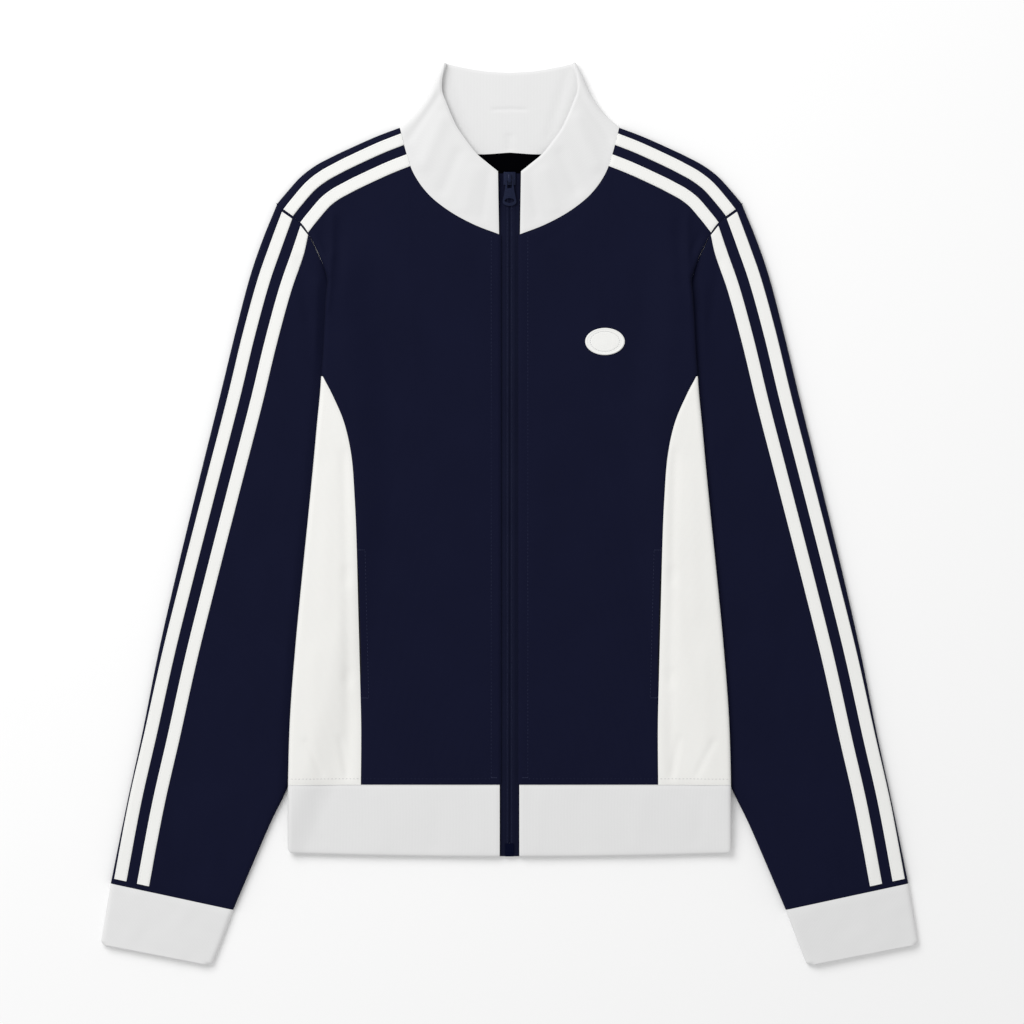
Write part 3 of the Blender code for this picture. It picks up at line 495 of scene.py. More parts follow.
def halfPanel(sidePath, topPath, centreX, centreTop, rows, columns):
    sidePoints = atShares(sidePath, np.linspace(0, 1, rows))
    along = (sidePoints[:, 1] - sidePoints[0, 1]) / (sidePoints[-1, 1] - sidePoints[0, 1])
    across = np.linspace(0, 1, columns)
    edge = np.array((0.0008, 0.002, 0.005, 0.011, 0.018))
    across = np.unique(np.concatenate((across, edge, 1 - edge)))
    topPoints = atShares(topPath, across)
    bottom = np.column_stack((sidePoints[0, 0] + (centreX - sidePoints[0, 0]) * across,
                              np.full(len(across), hemSeamY)))
    centre = np.column_stack((np.full(rows, centreX), hemSeamY + (centreTop - hemSeamY) * along))
    return coons(bottom, topPoints, sidePoints, centre, across, along, 3.0)


def mirrored(grid):
    return np.concatenate((grid, grid[:, -2::-1] * (-1.0, 1.0, 1.0)), axis=1)


def wrap(frontPlan, backPlan, surface):
    front, behind = surface(frontPlan, 1), surface(backPlan, -1)
    joined = []
    for near, far in zip(front, behind):
        near[:, -1, 2] = (near[:, -1, 2] + far[:, 0, 2]) / 2.0
        joined.append(np.concatenate((near, far[:, 1:]), axis=1))
    return joined


frontSeam = curves["frontSeam"][::-1]
aboveSide = curves["sideFold"][curves["sideFold"][:, 1] > 123.0][::-1]
frontSide = np.vstack((frontSeam, aboveSide, curves["armhole"][::-1][1:]))
frontTop = np.vstack((curves["shoulder"], curves["neck"][1:-1], [[frontEdge, 247.0]]))
hemLine = np.array(((200.0, hemSeamY), (0.0, hemSeamY)))

def nearestSeam(plan, lines):
    return np.min([edgeFrame(plan, each)[0] for each in lines], axis=0)


def frontSurface(plan, phase):
    outer, inner = bodySurface(plan, 1, rows=frontCreases, phase=phase)
    toSeam = nearestSeam(plan, (curves["armhole"], curves["neck"], frontSeam, hemLine))
    toEdge = np.abs(plan[..., 0] - frontEdge)
    dip = groove(toSeam, body["seamDip"], body["seamWidth"])
    dip = dip + groove(toEdge, 0.9, 1.3)
    topstitch = groove(plan[..., 0] - 16.2, 0.16, 0.8)
    topstitch = topstitch + groove(plan[..., 1] - hemSeamY - 5.4, 0.16, 0.8)
    for grid in (outer, inner):
        grid[..., 2] -= dip + topstitch
    return outer, inner


def makeFronts():
    plan = halfPanel(frontSide, frontTop, frontEdge, 247.0, body["rows"], body["columns"])
    plan = trimmed(plan, ("first", "last", "outer"))
    y = plan[..., 1]
    gape = 1.3 * smoothStep((-34.0 - y) / 26.0) * smoothStep((y + 160.0) / 26.0)
    nearSeam = np.exp(-((plan[:, :1, 0] - plan[..., 0]) / 5.0) ** 2)
    plan[..., 0] -= gape * nearSeam
    for name, flip, phase in (("front_left", False, 0.4), ("front_right", True, 2.3)):
        outer, inner = frontSurface(plan, phase)
        piece = wallMesh(name + "_cloth", outer, inner, materials["navyTricot"], mirror=flip)
        finishPiece(piece, "jacket", (name,))


backSeamWide = ((-240.0, 0.0, 80.0, 122.0), (38.0, 25.0, 15.0, 1.2))     # y, mm behind the side fold


def makeBack():
    seamX = sideX(frontSeam[:, 1]) - np.interp(frontSeam[:, 1], *backSeamWide)
    side = np.vstack((np.column_stack((seamX, frontSeam[:, 1])), aboveSide, curves["armhole"][::-1][1:]))
    top = np.vstack((curves["shoulder"], curves["backNeck"][1:]))
    plan = trimmed(halfPanel(side, top, 0.0, 320.0, 100, 60), ("first", "last", "outer"))
    outer, inner = bodySurface(plan, -1)
    # painted shade: the back panel's inner faces are near black, for the shade that falls under the collar
    # and fronts
    piece = wallMesh("back_cloth", mirrored(outer), mirrored(inner), materials["navyTricot"],
                     paintedShadeInside=materials["backInsidePaintedShade"])
    finishPiece(piece, "jacket", ("back_panel",))


def foldColumns(width, steps):
    near = (0.0, 0.003, 0.010, 0.022, 0.04, 0.065, 0.1)
    part = np.concatenate((near, np.linspace(0.14, 1.0, steps)))
    near = np.minimum(np.array((0.0, 0.12, 0.45, 1.0, 1.9, 3.0, 4.3)), width[:, None] * part[:7] * 3)
    return np.concatenate((near, np.maximum(width[:, None] * part[7:], near[:, -1:])), axis=1)


def makeSidePanels():
    rows = np.linspace(hemSeamY, 121.6, 130)
    fold = sideX(rows)
    seamX = np.interp(rows, frontSeam[:, 1], frontSeam[:, 0])
    backWide = np.interp(rows, *backSeamWide)
    front = fold[:, None] - foldColumns(fold - seamX, 26)
    behind = fold[:, None] - foldColumns(backWide, 8)
    y = rows[:, None]
    front = trimmed(np.dstack((front, np.repeat(y, front.shape[1], 1)))[:, ::-1], ("first", "outer"))
    behind = trimmed(np.dstack((behind, np.repeat(y, behind.shape[1], 1))), ("first", "inner"))
    for name, flip, phase in (("side_panel_left", False, 1.1), ("side_panel_right", True, 3.9)):
        def surface(plan, side):
            outer, inner = bodySurface(plan, side, rows=sideCreases, phase=phase)
            if side > 0:
                toSeam = nearestSeam(plan, (frontSeam, hemLine))
                dip = groove(toSeam, body["seamDip"], body["seamWidth"])
                dip = dip + groove(plan[..., 1] - hemSeamY - 5.4, 0.16, 0.8)
                outer[..., 2] -= dip
                inner[..., 2] -= dip
            return outer, inner
        outer, inner = wrap(front, behind, surface)
        piece = wallMesh(name + "_cloth", outer, inner, materials["whiteTricot"], mirror=flip)
        finishPiece(piece, "jacket", (name,))


def makeHemBand():
    # one band folded at both sides, with a rounded lower edge
    drop = np.concatenate((np.array((0.0, 0.5, 1.3, 2.4)), np.linspace(4.5, 63.0, 26)))
    low = np.sqrt(1.0 - (1.0 - np.clip(drop / 3.0, 0, 1)) ** 2)
    near = (0.0, 0.12, 0.45, 1.0, 1.9, 3.0)
    columns = np.concatenate((near, np.linspace(4.3, 187.6, 90)))
    backColumns = np.concatenate((near, np.linspace(4.3, 196.3, 40)))
    side = sideX(drop - 300.4)[:, None]

    def grid(steps, end):
        x = side + (end - side) * steps[None] / steps[-1]
        corner = 4.5 * (1.0 - np.sqrt(1.0 - (1.0 - np.clip(drop / 5.0, 0, 1)) ** 2))
        x = x - corner[:, None] * (x / 196.3) ** 12
        bow = 3.2 * (1.0 - (x / 196.3) ** 2) * (1.0 - drop[:, None] / 63.0)
        return np.dstack((x, -303.0 + drop[:, None] + 2.6 - bow))

    def surface(plan, side):
        outer, inner = bodySurface(plan, side, ribWall, body["bandThick"], rows=hemCreases, phase=0.7)
        squeeze = (0.55 + 0.45 * low)[:, None]
        middle = bodyBase(plan) + body["bandThick"] / 2.0
        outer[..., 2] = middle + (outer[..., 2] - middle) * squeeze
        if side > 0:
            toSeam = hemSeamY - plan[..., 1]
            outer[..., 2] -= groove(toSeam, 0.5, 1.4)
            outer[..., 2] -= groove(plan[..., 0] - 8.7, 0.5, 1.2)
        return outer, inner

    outer, inner = wrap(grid(columns, 8.7)[:, ::-1], grid(backColumns, 0.0), surface)
    outer[-1, :, 1] = inner[-1, :, 1] = hemSeamY - seamGap
    piece = wallMesh("hem_band_cloth", mirrored(outer), mirrored(inner), materials["whiteRib"])
    finishPiece(piece, "jacket", ("hem_band",))


makeBack()
makeFronts()
makeSidePanels()
makeHemBand()
print("body ready")

# ---- sleeves: flattened tubes with two tapes each

sleeve = {
    "thick": 5.8, "pressed": 4.2, "pressOut": 9.0, "pressIn": 1.0, "tapeWide": 10.9, "tapeStep": 20.5,
    "rippleHigh": 0.22, "rippleSize": 30.0, "rowsPer": 15,
    "perColumn": (3, 3, 3, 2, 3, 6, 7, 6, 10, 10, 8, 4, 3, 3)}
sleeveCreases = (
    (186.0, 226.0, 178.0, 168.0, -0.8, 5.0),
    (172.0, 206.0, 171.0, 140.0, 0.6, 4.5),
    (200.0, 200.0, 212.0, 120.0, 0.35, 8.0),
    (196.0, 60.0, 214.0, -20.0, -0.35, 9.0),
    (214.0, -40.0, 236.0, -130.0, 0.35, 9.0),
    (250.0, -120.0, 232.0, -170.0, -0.3, 8.0),
    (270.0, -200.0, 262.0, -270.0, 0.4, 8.0),
    (300.0, -250.0, 296.0, -326.0, -0.4, 6.0),
    (262.0, -300.0, 268.0, -340.0, 0.45, 5.0),
    (322.0, -290.0, 318.0, -332.0, 0.4, 5.0),
    (284.0, -306.0, 288.0, -336.0, -0.35, 4.0))


def pressedShares(start, rest, edge):
    steps = np.linspace(0.0, 1.0, 200)
    points = start + rest * steps[:, None]
    clear = points[:, 0] - sideX(points[:, 1])
    if clear[-1] > -sleeve["pressIn"]:
        return np.array((0.3, 0.6, 0.85))
    free = np.interp(-sleeve["pressOut"], -clear, steps)
    under = min(np.interp(sleeve["pressIn"], -clear, steps), 1.0 - edge)
    return np.array((0.5 * free, free, under))


# key columns run square to the outer fold across the tapes, then straight to the inner fold
def sleevePlan():
    outer, inner = np.array(sleeveRows["outer"]), np.array(sleeveRows["inner"])
    armhole = np.vstack((curves["armhole"], curves["armholeHidden"][1:]))
    lengths = np.concatenate(([0.0], np.cumsum(np.hypot(*np.diff(armhole, axis=0).T))))
    marks = np.array((7.8, 18.8, 28.4, 39.4))      # where the shoulder tapes' edges meet the armhole
    first = np.concatenate((marks[0] * np.array((0.0, 0.15, 0.45, 1.0)), marks[0] + np.array((1.3, 4.4)),
                            marks[1:], (70.0, 85.4, 132.0), lengths[-1] - np.array((4.2, 1.6, 0.4, 0.0))))
    rows = [atShares(armhole, first / lengths[-1])]
    run = np.gradient(np.vstack(([205.6, 274.9], outer)), axis=0)[1:]
    wide, step = sleeve["tapeWide"], sleeve["tapeStep"]
    for i, margin in enumerate(sleeveRows["margin"]):
        chord = (inner[i] - outer[i]) / np.hypot(*(inner[i] - outer[i]))
        square = np.array((run[i][1], -run[i][0])) / np.hypot(*run[i])
        square *= np.sign(square @ chord)
        way = chord if i == len(outer) - 1 else square
        steps = np.array((0.0, 0.15 * margin, 0.45 * margin, margin, margin + 1.3, margin + 4.4,
                          margin + wide, margin + step, margin + step + wide))
        start = outer[i] + way * steps[:, None]
        rest = inner[i] - start[-1]
        length = np.hypot(*rest)
        inward = np.concatenate((pressedShares(start[-1], rest, 4.6 / length),
                                 1.0 - np.array((4.2, 1.6, 0.4, 0.0)) / length))
        rows.append(np.vstack((start, start[-1] + rest * inward[:, None])))
    keys = np.array(rows)
    counts = list(sleeve["perColumn"]) + [3] * (keys.shape[1] - 1 - len(sleeve["perColumn"]))
    places = np.concatenate([i + np.arange(n) / n for i, n in enumerate(counts)] + [[keys.shape[1] - 1]])
    low = np.minimum(places.astype(int), keys.shape[1] - 2)
    part = (places - low)[None, :, None]
    fine = keys[:, low] * (1 - part) + keys[:, low + 1] * part
    starts = np.concatenate(([0], np.cumsum(counts)))
    return smoothRows(fine, sleeve["rowsPer"]), starts


sleeveFlat, columnAt = sleevePlan()
outerFold = sleeveFlat[:, 0]
innerFold = sleeveFlat[:, -1]


def sleeveSurface(plan, side, phase, wall=clothWall):
    x, y = plan[..., 0], plan[..., 1]
    slope = (sideX(y) - x + sleeve["pressOut"]) / (sleeve["pressOut"] + sleeve["pressIn"])
    pressed = smoothStep(slope) * smoothStep((235.0 - y) / 30.0)
    thick = sleeve["thick"] - (sleeve["thick"] - sleeve["pressed"]) * pressed
    toOuter, outerWay = edgeFrame(plan, outerFold[::-1])
    toInner, innerWay = edgeFrame(plan, innerFold)
    share = foldShare(toOuter) * foldShare(toInner)
    loose = np.zeros(plan.shape[:-1])
    if side > 0:
        calm = smoothStep(toOuter / 12.0) * smoothStep(toInner / 10.0) * (1.0 - pressed)
        loose = sleeve["rippleHigh"] * ripple(plan, sleeve["rippleSize"], phase)
        loose = (creases(plan, sleeveCreases) + loose) * calm
        toSeam = nearestSeam(plan, (curves["armhole"], np.array(((353.2, -327.3), (244.7, -350.7)))))
        loose = loose - groove(toSeam, body["seamDip"], body["seamWidth"])
    outerZ = thick / 2.0 * (1.0 + side * share) + side * loose * share
    innerZ = thick / 2.0 + side * (thick / 2.0 - wall) * share + side * loose * share
    inner = plan + outerWay * foldInset(toOuter, wall) + innerWay * foldInset(toInner, wall)
    return np.dstack((plan, outerZ)), np.dstack((inner, innerZ))


def tapeOn(name, strip, up, flip, lift=0.12, wall=0.75):
    # the tape's edges come down to the panel over 0.9 mm, with a stitched dip 1.5 mm in from each
    steps = np.linalg.norm(np.diff(strip, axis=1), axis=2)
    at = np.concatenate((np.zeros((len(strip), 1)), np.cumsum(steps, axis=1)), axis=1)
    toEdge = np.minimum(at, at[:, -1:] - at)
    rise = 0.35 + 0.65 * foldShare(toEdge, 0.9) - groove(toEdge - 1.5, 0.13, 0.5)
    outer = strip + up * (lift + wall * rise)[..., None]
    piece = wallMesh(name + "_tape", outer, strip + up * lift, materials["stripeTape"], mirror=flip)
    finishPiece(piece, "jacket", (name,))
    for column in (2, -3):
        stitchLine(outer[:, column] + (0, 0, 0.02), "white", 2.0, 0.9, 0.34, 0.2, flip)


def widened(strip, per):
    # more columns, evenly spaced across, for a strip between its own first and last columns
    along = np.linspace(0.0, strip.shape[1] - 1.0, per)
    low = np.minimum(along.astype(int), strip.shape[1] - 2)
    part = (along - low)[None, :, None]
    return strip[:, low] * (1 - part) + strip[:, low + 1] * part


stitchRows = {"navy": [], "white": []}


def stitchLine(points, colour, length=2.3, gap=0.9, wide=0.42, high=0.3, flip=False):
    # points: a path in mm on the cloth; each stitch is placed by its share of the path's length
    points = np.asarray(points, float)
    if flip:
        points = points * (-1.0, 1.0, 1.0)
    steps = np.linalg.norm(np.diff(points, axis=0), axis=1)
    own = np.concatenate(([0.0], np.cumsum(steps)))
    count = int(own[-1] / (length + gap))
    if count < 1:
        return
    middle = (np.arange(count) + 0.5) * own[-1] / count
    places = [np.column_stack([np.interp(at, own, points[:, i]) for i in range(3)])
              for at in (middle, middle - length / 2, middle + length / 2)]
    stitchRows[colour].append((*places, np.full(count, wide), np.full(count, high)))


def makeSleeves():
    plan = trimmed(sleeveFlat, ("first", "last"))
    for side, flip, phase in (("left", False, 0.9), ("right", True, 2.8)):
        top = sleeveSurface(plan, 1, phase)
        bottom = sleeveSurface(plan[:, ::2] if plan.shape[1] % 2 else plan, -1, phase)
        outer, inner = (np.concatenate((high, low[:, -2:0:-1]), axis=1) for high, low in zip(top, bottom))
        cloth = materials["navyTricot"]
        piece = wallMesh("sleeve_" + side + "_cloth", outer, inner, cloth, ring=True, mirror=flip)
        finishPiece(piece, "jacket", ("sleeve_" + side,))
        normal = gridNormals(top[0])
        for which, first, last in (("outer", 3, 6), ("inner", 7, 8)):
            columns = slice(columnAt[first], columnAt[last] + 1)
            name = "sleeve_stripe_" + which + "_" + side
            rows = slice(1, -1)
            strip = widened(top[0][rows, columns], 17)
            up = widened(normal[rows, columns], 17)
            up /= np.linalg.norm(up, axis=2, keepdims=True)
            tapeOn(name, strip, up, flip)


# points at a set distance in from the shoulder fold, from the neck seam to the armhole
def makeShoulderStripes():
    fold = smoothRows(np.array(outline["shoulder"])[::-1], 14)
    square = np.gradient(fold, axis=0)
    square = np.column_stack((square[:, 1], -square[:, 0]))
    square /= np.hypot(*square.T)[:, None]
    share = np.linspace(0.0, 1.0, len(fold))[:, None]
    for which, start, wide in (("outer", 5.4, 10.4), ("inner", 24.4, 10.8)):
        edges = []
        for part in np.linspace(0.0, 1.0, 17):
            path = fold + square * (start + 2.2 * share + wide * part)
            path = np.vstack((path[0] + (path[0] - path[2]) * 4, path, path[-1] + (path[-1] - path[-3]) * 4))
            path = atShares(path, np.linspace(0, 1, 500))
            fromNeck = edgeFrame(path, curves["neck"])[0]
            fromArm = edgeFrame(path, curves["armhole"])[0]
            begin, end = int(np.argmin(fromNeck)), int(np.argmin(fromArm))
            edges.append(atShares(path[begin:end], np.linspace(0.0, 0.998, 90)))
        plan = np.stack(edges, axis=1)
        for side, flip, phase in (("left", False, 0.4), ("right", True, 2.3)):
            top = frontSurface(plan, phase)[0]
            name = "shoulder_stripe_" + which + "_" + side
            up = np.zeros_like(top) + (0.0, 0.0, 1.0)
            tapeOn(name, top, up, flip)


def makeCuffs():
    rows = {"outer": ((353.2, -327.3), (357.6, -354.0), (361.0, -374.5), (361.4, -379.0), (359.4, -381.8)),
            "inner": ((244.7, -350.7), (254.0, -375.5), (261.3, -394.0), (263.4, -398.4), (267.4, -399.5))}
    outerSide, innerSide = (smoothRows(rows[name], 8) for name in ("outer", "inner"))
    width = np.hypot(*(innerSide - outerSide).T)
    near = np.array((0.0, 0.12, 0.45, 1.0, 1.9, 3.0))
    steps = [np.concatenate((near, np.linspace(4.3, w - 4.3, 44), w - near[::-1])) / w for w in width]
    steps = np.array(steps)
    plan = outerSide[:, None] + (innerSide - outerSide)[:, None] * steps[..., None]
    plan = trimmed(plan, ("first",))
    fromEnd = np.linspace(54.0, 0.0, len(plan))
    squeeze = 0.5 + 0.5 * foldShare(fromEnd, 3.0)

    def surface(grid, side, phase):
        toOuter, outerWay = edgeFrame(grid, outerSide[::-1])
        toInner, innerWay = edgeFrame(grid, innerSide)
        share = foldShare(toOuter) * foldShare(toInner) * squeeze[:, None]
        half = body["bandThick"] / 2.0
        loose = 0.2 * ripple(grid, 12.0, phase) if side > 0 else 0.0
        toSeam = edgeFrame(grid, np.array(((353.2, -327.3), (244.7, -350.7))))[0]
        loose = loose - groove(toSeam, 0.5, 1.4) * (side > 0)
        outerZ = half + side * (half + loose) * share
        innerZ = half + side * (half - ribWall) * share
        back = grid + outerWay * foldInset(toOuter, ribWall) + innerWay * foldInset(toInner, ribWall)
        return np.dstack((grid, outerZ)), np.dstack((back, innerZ))

    for side, flip, phase in (("left", False, 0.2), ("right", True, 1.8)):
        top, bottom = surface(plan, 1, phase), surface(plan, -1, phase)
        outer, inner = (np.concatenate((high, low[:, -2:0:-1]), axis=1) for high, low in zip(top, bottom))
        rib = materials["whiteRib"]
        piece = wallMesh("cuff_" + side + "_cloth", outer, inner, rib, ring=True, mirror=flip)
        finishPiece(piece, "jacket", ("cuff_" + side,))


makeSleeves()
makeShoulderStripes()
makeCuffs()
print("sleeves ready")

# ---- collar: one band, its two ends folded over its back

collarSizes = {"thick": 6.0, "rise": 2.6, "foldRadius": 5.0, "rows": 64}
flapCreases = (
    (90.0, 330.0, 62.0, 372.0, -0.8, 4.0),
    (78.0, 306.0, 58.0, 352.0, 1.0, 7.0),
    (60.0, 284.0, 44.0, 322.0, -0.8, 6.0),
    (40.0, 268.0, 30.0, 306.0, 0.55, 7.0),
    (24.0, 262.0, 18.0, 304.0, -0.4, 4.0))
backCreases = (
    (-14.0, 359.0, 15.0, 358.0, -0.9, 1.6),
    (34.0, 332.0, 52.0, 392.0, -0.8, 5.0),
    (0.0, 322.0, 1.0, 336.0, -0.8, 3.0),
    (8.0, 326.0, 12.0, 386.0, 0.25, 9.0))


def makeCollar():
    count = collarSizes["rows"]
    rows = 1.0 - (1.0 - np.linspace(0.0, 1.0, count)) ** 1.25
    near = np.array((0.0, 0.001, 0.004, 0.009, 0.016, 0.026, 0.04))
    across = np.concatenate((near, np.linspace(0.055, 1.0, 78)))
    backAcross = np.concatenate((near, np.linspace(0.06, 1.0, 40)))
    fold = atShares(curves["collarFold"], rows)
    seam, edge = atShares(curves["neck"], across), atShares(curves["flapEdge"], across)
    ends = np.array((seam[-1], edge[-1]))
    flap = coons(seam, edge, fold, atShares(ends, rows), across, rows)
    backSeam, backEdge = atShares(curves["backNeck"], backAcross), atShares(curves["collarBack"], backAcross)
    middle = atShares(np.array((backSeam[-1], backEdge[-1])), rows)
    behind = trimmed(coons(backSeam, backEdge, fold, middle, backAcross, rows), ("first",))
    flap = trimmed(flap, ("first",))[:, ::-1]
    flap[:, -1] = behind[:, 0]

    def surface(plan, side):
        distance, way = edgeFrame(plan, curves["collarFold"])
        fromSeam = edgeFrame(plan, curves["neck"])[0]
        top = collarSizes["thick"] + collarSizes["rise"] * smoothStep(fromSeam / 50.0)
        share = foldShare(distance, collarSizes["foldRadius"])
        if side > 0:
            toTop = edgeFrame(plan, curves["flapEdge"])[0]
            loose = creases(plan, flapCreases) * smoothStep(distance / 10.0)
            loose = loose - groove(fromSeam, 0.3, 1.2) - groove(toTop, 0.9, 1.3)
            loose = loose - groove(plan[..., 0] - 9.5, 0.6, 1.2)
            outerZ = top / 2.0 * (1.0 + share) + loose * share
            innerZ = top / 2.0 + (top / 2.0 - ribWall) * share + creases(plan, flapCreases) * share * 0.5
        else:
            both = creases(plan, backCreases)
            toTop = edgeFrame(plan, curves["collarBack"])[0]
            outerZ = top / 2.0 * (1.0 - share) + groove(toTop, 0.5, 1.3) * share
            innerZ = top / 2.0 - (top / 2.0 - ribWall) * share + both * share * 0.6
            innerZ = innerZ - groove(toTop, 0.6, 1.3) * share
        shift = foldInset(distance, ribWall, collarSizes["foldRadius"])
        return np.dstack((plan, outerZ)), np.dstack((plan + way * shift, innerZ))

    outer, inner = wrap(flap, behind, surface)
    piece = wallMesh("collar_cloth", mirrored(outer), mirrored(inner), materials["whiteRib"])
    finishPiece(piece, "jacket", ("collar",))


makeCollar()
print("collar ready")

# ---- pockets and patch

def makePockets():
    y = np.linspace(-20.0, -170.0, 40)
    mouth = np.interp(y, frontSeam[:, 1], frontSeam[:, 0]) + 0.6
    deep = np.interp(-y, (20.0, 45.0, 90.0, 130.0, 170.0), (104.0, 74.0, 61.0, 60.0, 74.0))
    x = mouth[:, None] + (deep - mouth)[:, None] * np.linspace(0.0, 1.0, 24)
    plan = np.dstack((x, np.repeat(y[:, None], 24, axis=1)))
    for side, flip, phase in (("left", False, 0.4), ("right", True, 2.3)):
        top = bodySurface(plan, 1, rows=frontCreases, phase=phase)[0] - (0.0, 0.0, clothWall + 0.9)
        bag = materials["pocketCloth"]
        piece = wallMesh("pocket_bag_" + side + "_cloth", top, top - (0, 0, 0.8), bag, mirror=flip)
        finishPiece(piece, "jacket", ("pocket_bag_" + side,))


# plain oval badge: a dome-edged disc with a raised rim and an inner ring
def makePatch():
    centre, halfWide, halfHigh = (84.5, 152.5), 17.5, 12.0
    radius = np.concatenate((np.linspace(0.004, 0.7, 14), np.linspace(0.73, 1.0, 22)))[:, None]
    angle = np.linspace(0.0, 2 * math.pi, 120, endpoint=False)[None]
    x = centre[0] + halfWide * radius * np.cos(angle)
    plan = np.dstack((x, centre[1] + halfHigh * radius * np.sin(angle)))
    ground = frontSurface(plan, 0.4)[0][..., 2]
    rim = groove(radius - 0.93, 0.30, 0.035)
    ring = groove(radius - 0.74, 0.22, 0.02)
    threads = 0.05 * np.sin(angle * 150.0) * (radius > 0.86)
    edge = 0.45 + 0.25 * foldShare((1.0 - radius) * 12.0, 0.8)
    outer = np.dstack((plan, ground + 0.1 + edge + rim - ring + threads))
    inner = np.dstack((plan, ground + 0.08))
    piece = wallMesh("chest_patch_oval", outer, inner, materials["stripeTape"], ring=True)
    finishPiece(piece, "jacket", ("chest_patch",))
    column = int(np.argmin(np.abs(radius[:, 0] - 0.74)))
    stitchLine(outer[column, np.arange(121) % 120], "navy", 1.3, 0.5, 0.4, 0.2)


makePockets()
makePatch()

# ---- zip

zipSizes = {"tapeIn": 0.12, "tapeOut": 14.0, "tapeTop": 301.4, "tapeBottom": -303.2, "tapeZ": 3.72,
            "coilTop": 298.4, "coilBottom": -291.0, "coilPitch": 1.27}


# each tape is a strip that rolls down into the middle; it opens out above the slider
def makeTapes():
    flare = np.linspace(285.0, zipSizes["tapeTop"], 22)
    y = np.concatenate((np.linspace(zipSizes["tapeBottom"], 284.0, 240), flare))
    part = np.concatenate((np.linspace(0, 0.06, 6), np.linspace(0.1, 1.0, 26)))
    opened = 3.1 * smoothStep((y - 288.0) / 12.0)
    inner = zipSizes["tapeIn"] + opened
    x = inner[:, None] + (zipSizes["tapeOut"] - inner)[:, None] * part
    for side, flip in (("left", False), ("right", True)):
        fromMiddle = x - inner[:, None]
        z = zipSizes["tapeZ"] - groove(fromMiddle, 0.5, 0.35)
        z = z - 0.55 * smoothStep((x - 4.0) / 2.5)
        cords = groove(fromMiddle - 1.1, 0.32, 0.3) + groove(fromMiddle - 2.9, 0.25, 0.3)
        z = z - cords
        grid = np.dstack((x, np.repeat(y[:, None], len(part), 1), z))
        weave = materials["zipTape"]
        piece = wallMesh("zip_tape_" + side + "_weave", grid, grid - (0, 0, 0.45), weave, mirror=flip)
        finishPiece(piece, "jacket", ("zip_tape_" + side,))
        inside = y < 289.0
        for off in (1.6, 2.15):
            height = np.full(inside.sum(), zipSizes["tapeZ"] - 0.02)
            path = np.column_stack((inner[inside] + off, y[inside], height))
            stitchLine(path, "navy", 0.75, 0.52, 0.34, 0.16, flip)


# coil seen from its back: one rib for each turn, a cosine along and a half circle across
def makeCoil():
    turns = int((zipSizes["coilTop"] - zipSizes["coilBottom"]) / zipSizes["coilPitch"])
    y = np.linspace(zipSizes["coilBottom"], zipSizes["coilTop"], turns * 6 + 1)
    x = np.linspace(-2.8, 2.8, 13)
    turn = 0.5 + 0.5 * np.cos(2 * math.pi * (y - y[0]) / zipSizes["coilPitch"])
    cross = np.sqrt(np.maximum(0.0, 1.0 - (x / 2.9) ** 2))
    top = 3.04 - 0.02 * cross[None] * turn[:, None]
    high = np.dstack((np.repeat(x[None], len(y), 0), np.repeat(y[:, None], len(x), 1), top))
    low = high.copy()
    low[..., 2] = 2.6 - 0.35 * cross[None] * (0.5 + 0.5 * turn[:, None])
    piece = wallMesh("zip_coil_turns", high, low, materials["zipTape"])
    finishPiece(piece, "jacket", ("zip_coil",))


# hard pieces: the CAD shape with its edges rounded
def roundedCopy(node, name, width, bodyName, material):
    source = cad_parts[node]
    piece = bpy.data.objects.new(name, source.data.copy())
    bpy.context.scene.collection.objects.link(piece)
    weld = piece.modifiers.new("weld", "WELD")
    weld.merge_threshold = 0.00001
    bevel = piece.modifiers.new("round", "BEVEL")
    bevel.width = width * mm
    bevel.segments = 3
    bevel.limit_method = "ANGLE"
    bevel.angle_limit = math.radians(35)
    piece.data.materials.clear()
    piece.data.materials.append(material)
    graph = bpy.context.evaluated_depsgraph_get()
    mesh = bpy.data.meshes.new_from_object(piece.evaluated_get(graph))
    piece.modifiers.clear()
    piece.data = mesh
    mesh.shade_smooth()
    mesh.set_sharp_from_angle(angle=math.radians(50))
    finishPiece(piece, bodyName, (node,))
    return piece


makeTapes()
makeCoil()
roundedCopy("zip_slider", "zip_slider_metal", 0.32, "jacket", materials["zipLacquer"])
roundedCopy("zip_pull", "zip_pull_metal", 0.26, "pull", materials["zipLacquer"])
roundedCopy("zip_box", "zip_box_moulded", 0.35, "jacket", materials["boxResin"])
print("zip ready")


# ---- stitching: each stitch is a long low octahedron, all of one colour in one mesh

def onFront(plan, phase):
    return frontSurface(np.asarray(plan, float)[:, None], phase)[0][:, 0] + (0.0, 0.0, 0.03)


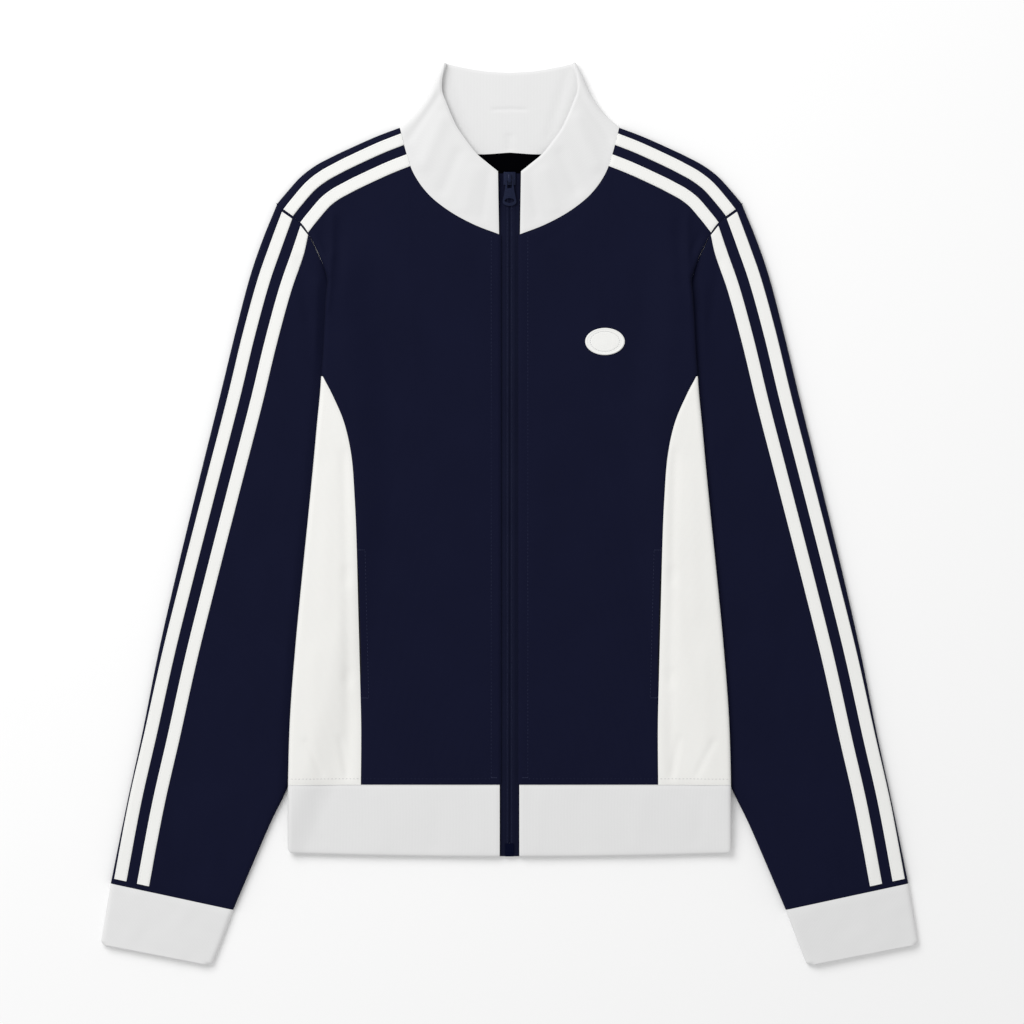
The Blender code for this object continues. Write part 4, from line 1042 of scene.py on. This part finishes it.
def placeStitches():
    up = np.linspace(hemSeamY + 5.4, 246.0, 300)
    placket = np.column_stack((np.full(300, 16.2), up))
    hem = np.column_stack((np.linspace(16.2, 131.0, 120), np.full(120, hemSeamY + 5.4)))
    hemSide = np.column_stack((np.linspace(132.8, 194.0, 60), np.full(60, hemSeamY + 5.4)))
    mouthY = np.linspace(-32.0, -163.0, 120)
    mouth = np.column_stack((np.interp(mouthY, frontSeam[:, 1], frontSeam[:, 0]) - 7.2, mouthY))
    tacks = [np.column_stack((np.linspace(x, x + 6.4, 12), np.full(12, y))) for x, y in mouth[[0, -1]]]
    for flip, phase, sidePhase in ((False, 0.4, 1.1), (True, 2.3, 3.9)):
        for path in (placket, hem, mouth):
            stitchLine(onFront(path, phase), "navy", flip=flip)
        for tack in tacks:
            stitchLine(onFront(tack, phase), "navy", 0.9, 0.1, 0.8, 0.35, flip)
        bar = np.column_stack((np.linspace(11.0, 16.5, 12), np.full(12, hemSeamY + 6.4)))
        stitchLine(onFront(bar, phase), "navy", 0.9, 0.1, 0.9, 0.35, flip)
        low = bodySurface(hemSide[:, None], 1, rows=sideCreases, phase=sidePhase)[0][:, 0]
        stitchLine(low - (0, 0, 0.12), "navy", 2.3, 0.9, 0.2, 0.16, flip)


def makeStitches(colour, name, material):
    middle, start, end, wide, high = (np.concatenate(each) for each in zip(*stitchRows[colour]))
    along = end - start
    across = np.column_stack((-along[:, 1], along[:, 0], np.zeros(len(along))))
    across /= np.linalg.norm(across, axis=1)[:, None]
    rise = np.array((0.0, 0.0, 1.0))
    aside, above = across * wide[:, None] / 2, rise * high[:, None]
    points = np.stack((start, end, middle + aside, middle - aside, middle + above, middle - above), axis=1)
    points = points.reshape(-1, 3) * mm
    base = np.array(((0, 3, 4), (3, 1, 4), (1, 2, 4), (2, 0, 4), (3, 0, 5), (1, 3, 5), (2, 1, 5), (0, 2, 5)))
    faces = (base[None] + 6 * np.arange(len(middle))[:, None, None]).reshape(-1, 3)
    mesh = bpy.data.meshes.new(name)
    mesh.from_pydata(points.tolist(), [], faces.tolist())
    mesh.uv_layers.new(name="cloth")
    mesh.shade_smooth()
    mesh.materials.append(material)
    piece = bpy.data.objects.new(name, mesh)
    bpy.context.scene.collection.objects.link(piece)
    finishPiece(piece, "jacket")
    print(name, len(middle), "stitches")


placeStitches()
makeStitches("navy", "navy_stitches", materials["navyThread"])
makeStitches("white", "white_stitches", materials["whiteThread"])

# ---- floor, light and camera

stage = {"world": 0.62, "floor": (0.985, 0.985, 0.985), "keyPower": 70.0, "keySize": 2.2,
         "keyAt": (-1.5, 1.9, 2.4), "cameraHigh": 4.0, "viewWide": 0.9077, "aim": (0.0022, 0.0016)}


def makeStage():
    half = 4.0
    floorMesh = bpy.data.meshes.new("floor")
    floorMesh.from_pydata([(-half, -half, -0.0004), (half, -half, -0.0004), (half, half, -0.0004),
                           (-half, half, -0.0004)], [], [(0, 1, 2, 3)])
    floor = bpy.data.objects.new("floor", floorMesh)
    bpy.context.scene.collection.objects.link(floor)
    paper = bpy.data.materials.new("floorPaper")
    paper.use_nodes = True
    paper.node_tree.nodes["Principled BSDF"].inputs["Base Color"].default_value = (*stage["floor"], 1.0)
    paper.node_tree.nodes["Principled BSDF"].inputs["Roughness"].default_value = 1.0
    paper.node_tree.nodes["Principled BSDF"].inputs["Specular IOR Level"].default_value = 0.0
    floorMesh.materials.append(paper)
    world = bpy.data.worlds.new("studio")
    world.use_nodes = True
    world.node_tree.nodes["Background"].inputs["Color"].default_value = (1.0, 1.0, 1.0, 1.0)
    world.node_tree.nodes["Background"].inputs["Strength"].default_value = stage["world"]
    bpy.context.scene.world = world
    lamp = bpy.data.lights.new("key", "AREA")
    lamp.energy = stage["keyPower"]
    lamp.size = stage["keySize"]
    key = bpy.data.objects.new("key", lamp)
    key.location = stage["keyAt"]
    x, y, z = stage["keyAt"]
    key.rotation_euler = (math.atan2(math.hypot(x, y), z), 0.0, math.atan2(y, x) + math.pi / 2)
    bpy.context.scene.collection.objects.link(key)
    lens = bpy.data.cameras.new("camera")
    lens.sensor_width = 36.0
    lens.lens = lens.sensor_width * stage["cameraHigh"] / stage["viewWide"]
    lens.clip_end = 30.0
    camera = bpy.data.objects.new("camera", lens)
    camera.location = (*stage["aim"], stage["cameraHigh"])
    bpy.context.scene.collection.objects.link(camera)
    bpy.context.scene.camera = camera
    bpy.context.scene.view_settings.view_transform = "Standard"


makeStage()
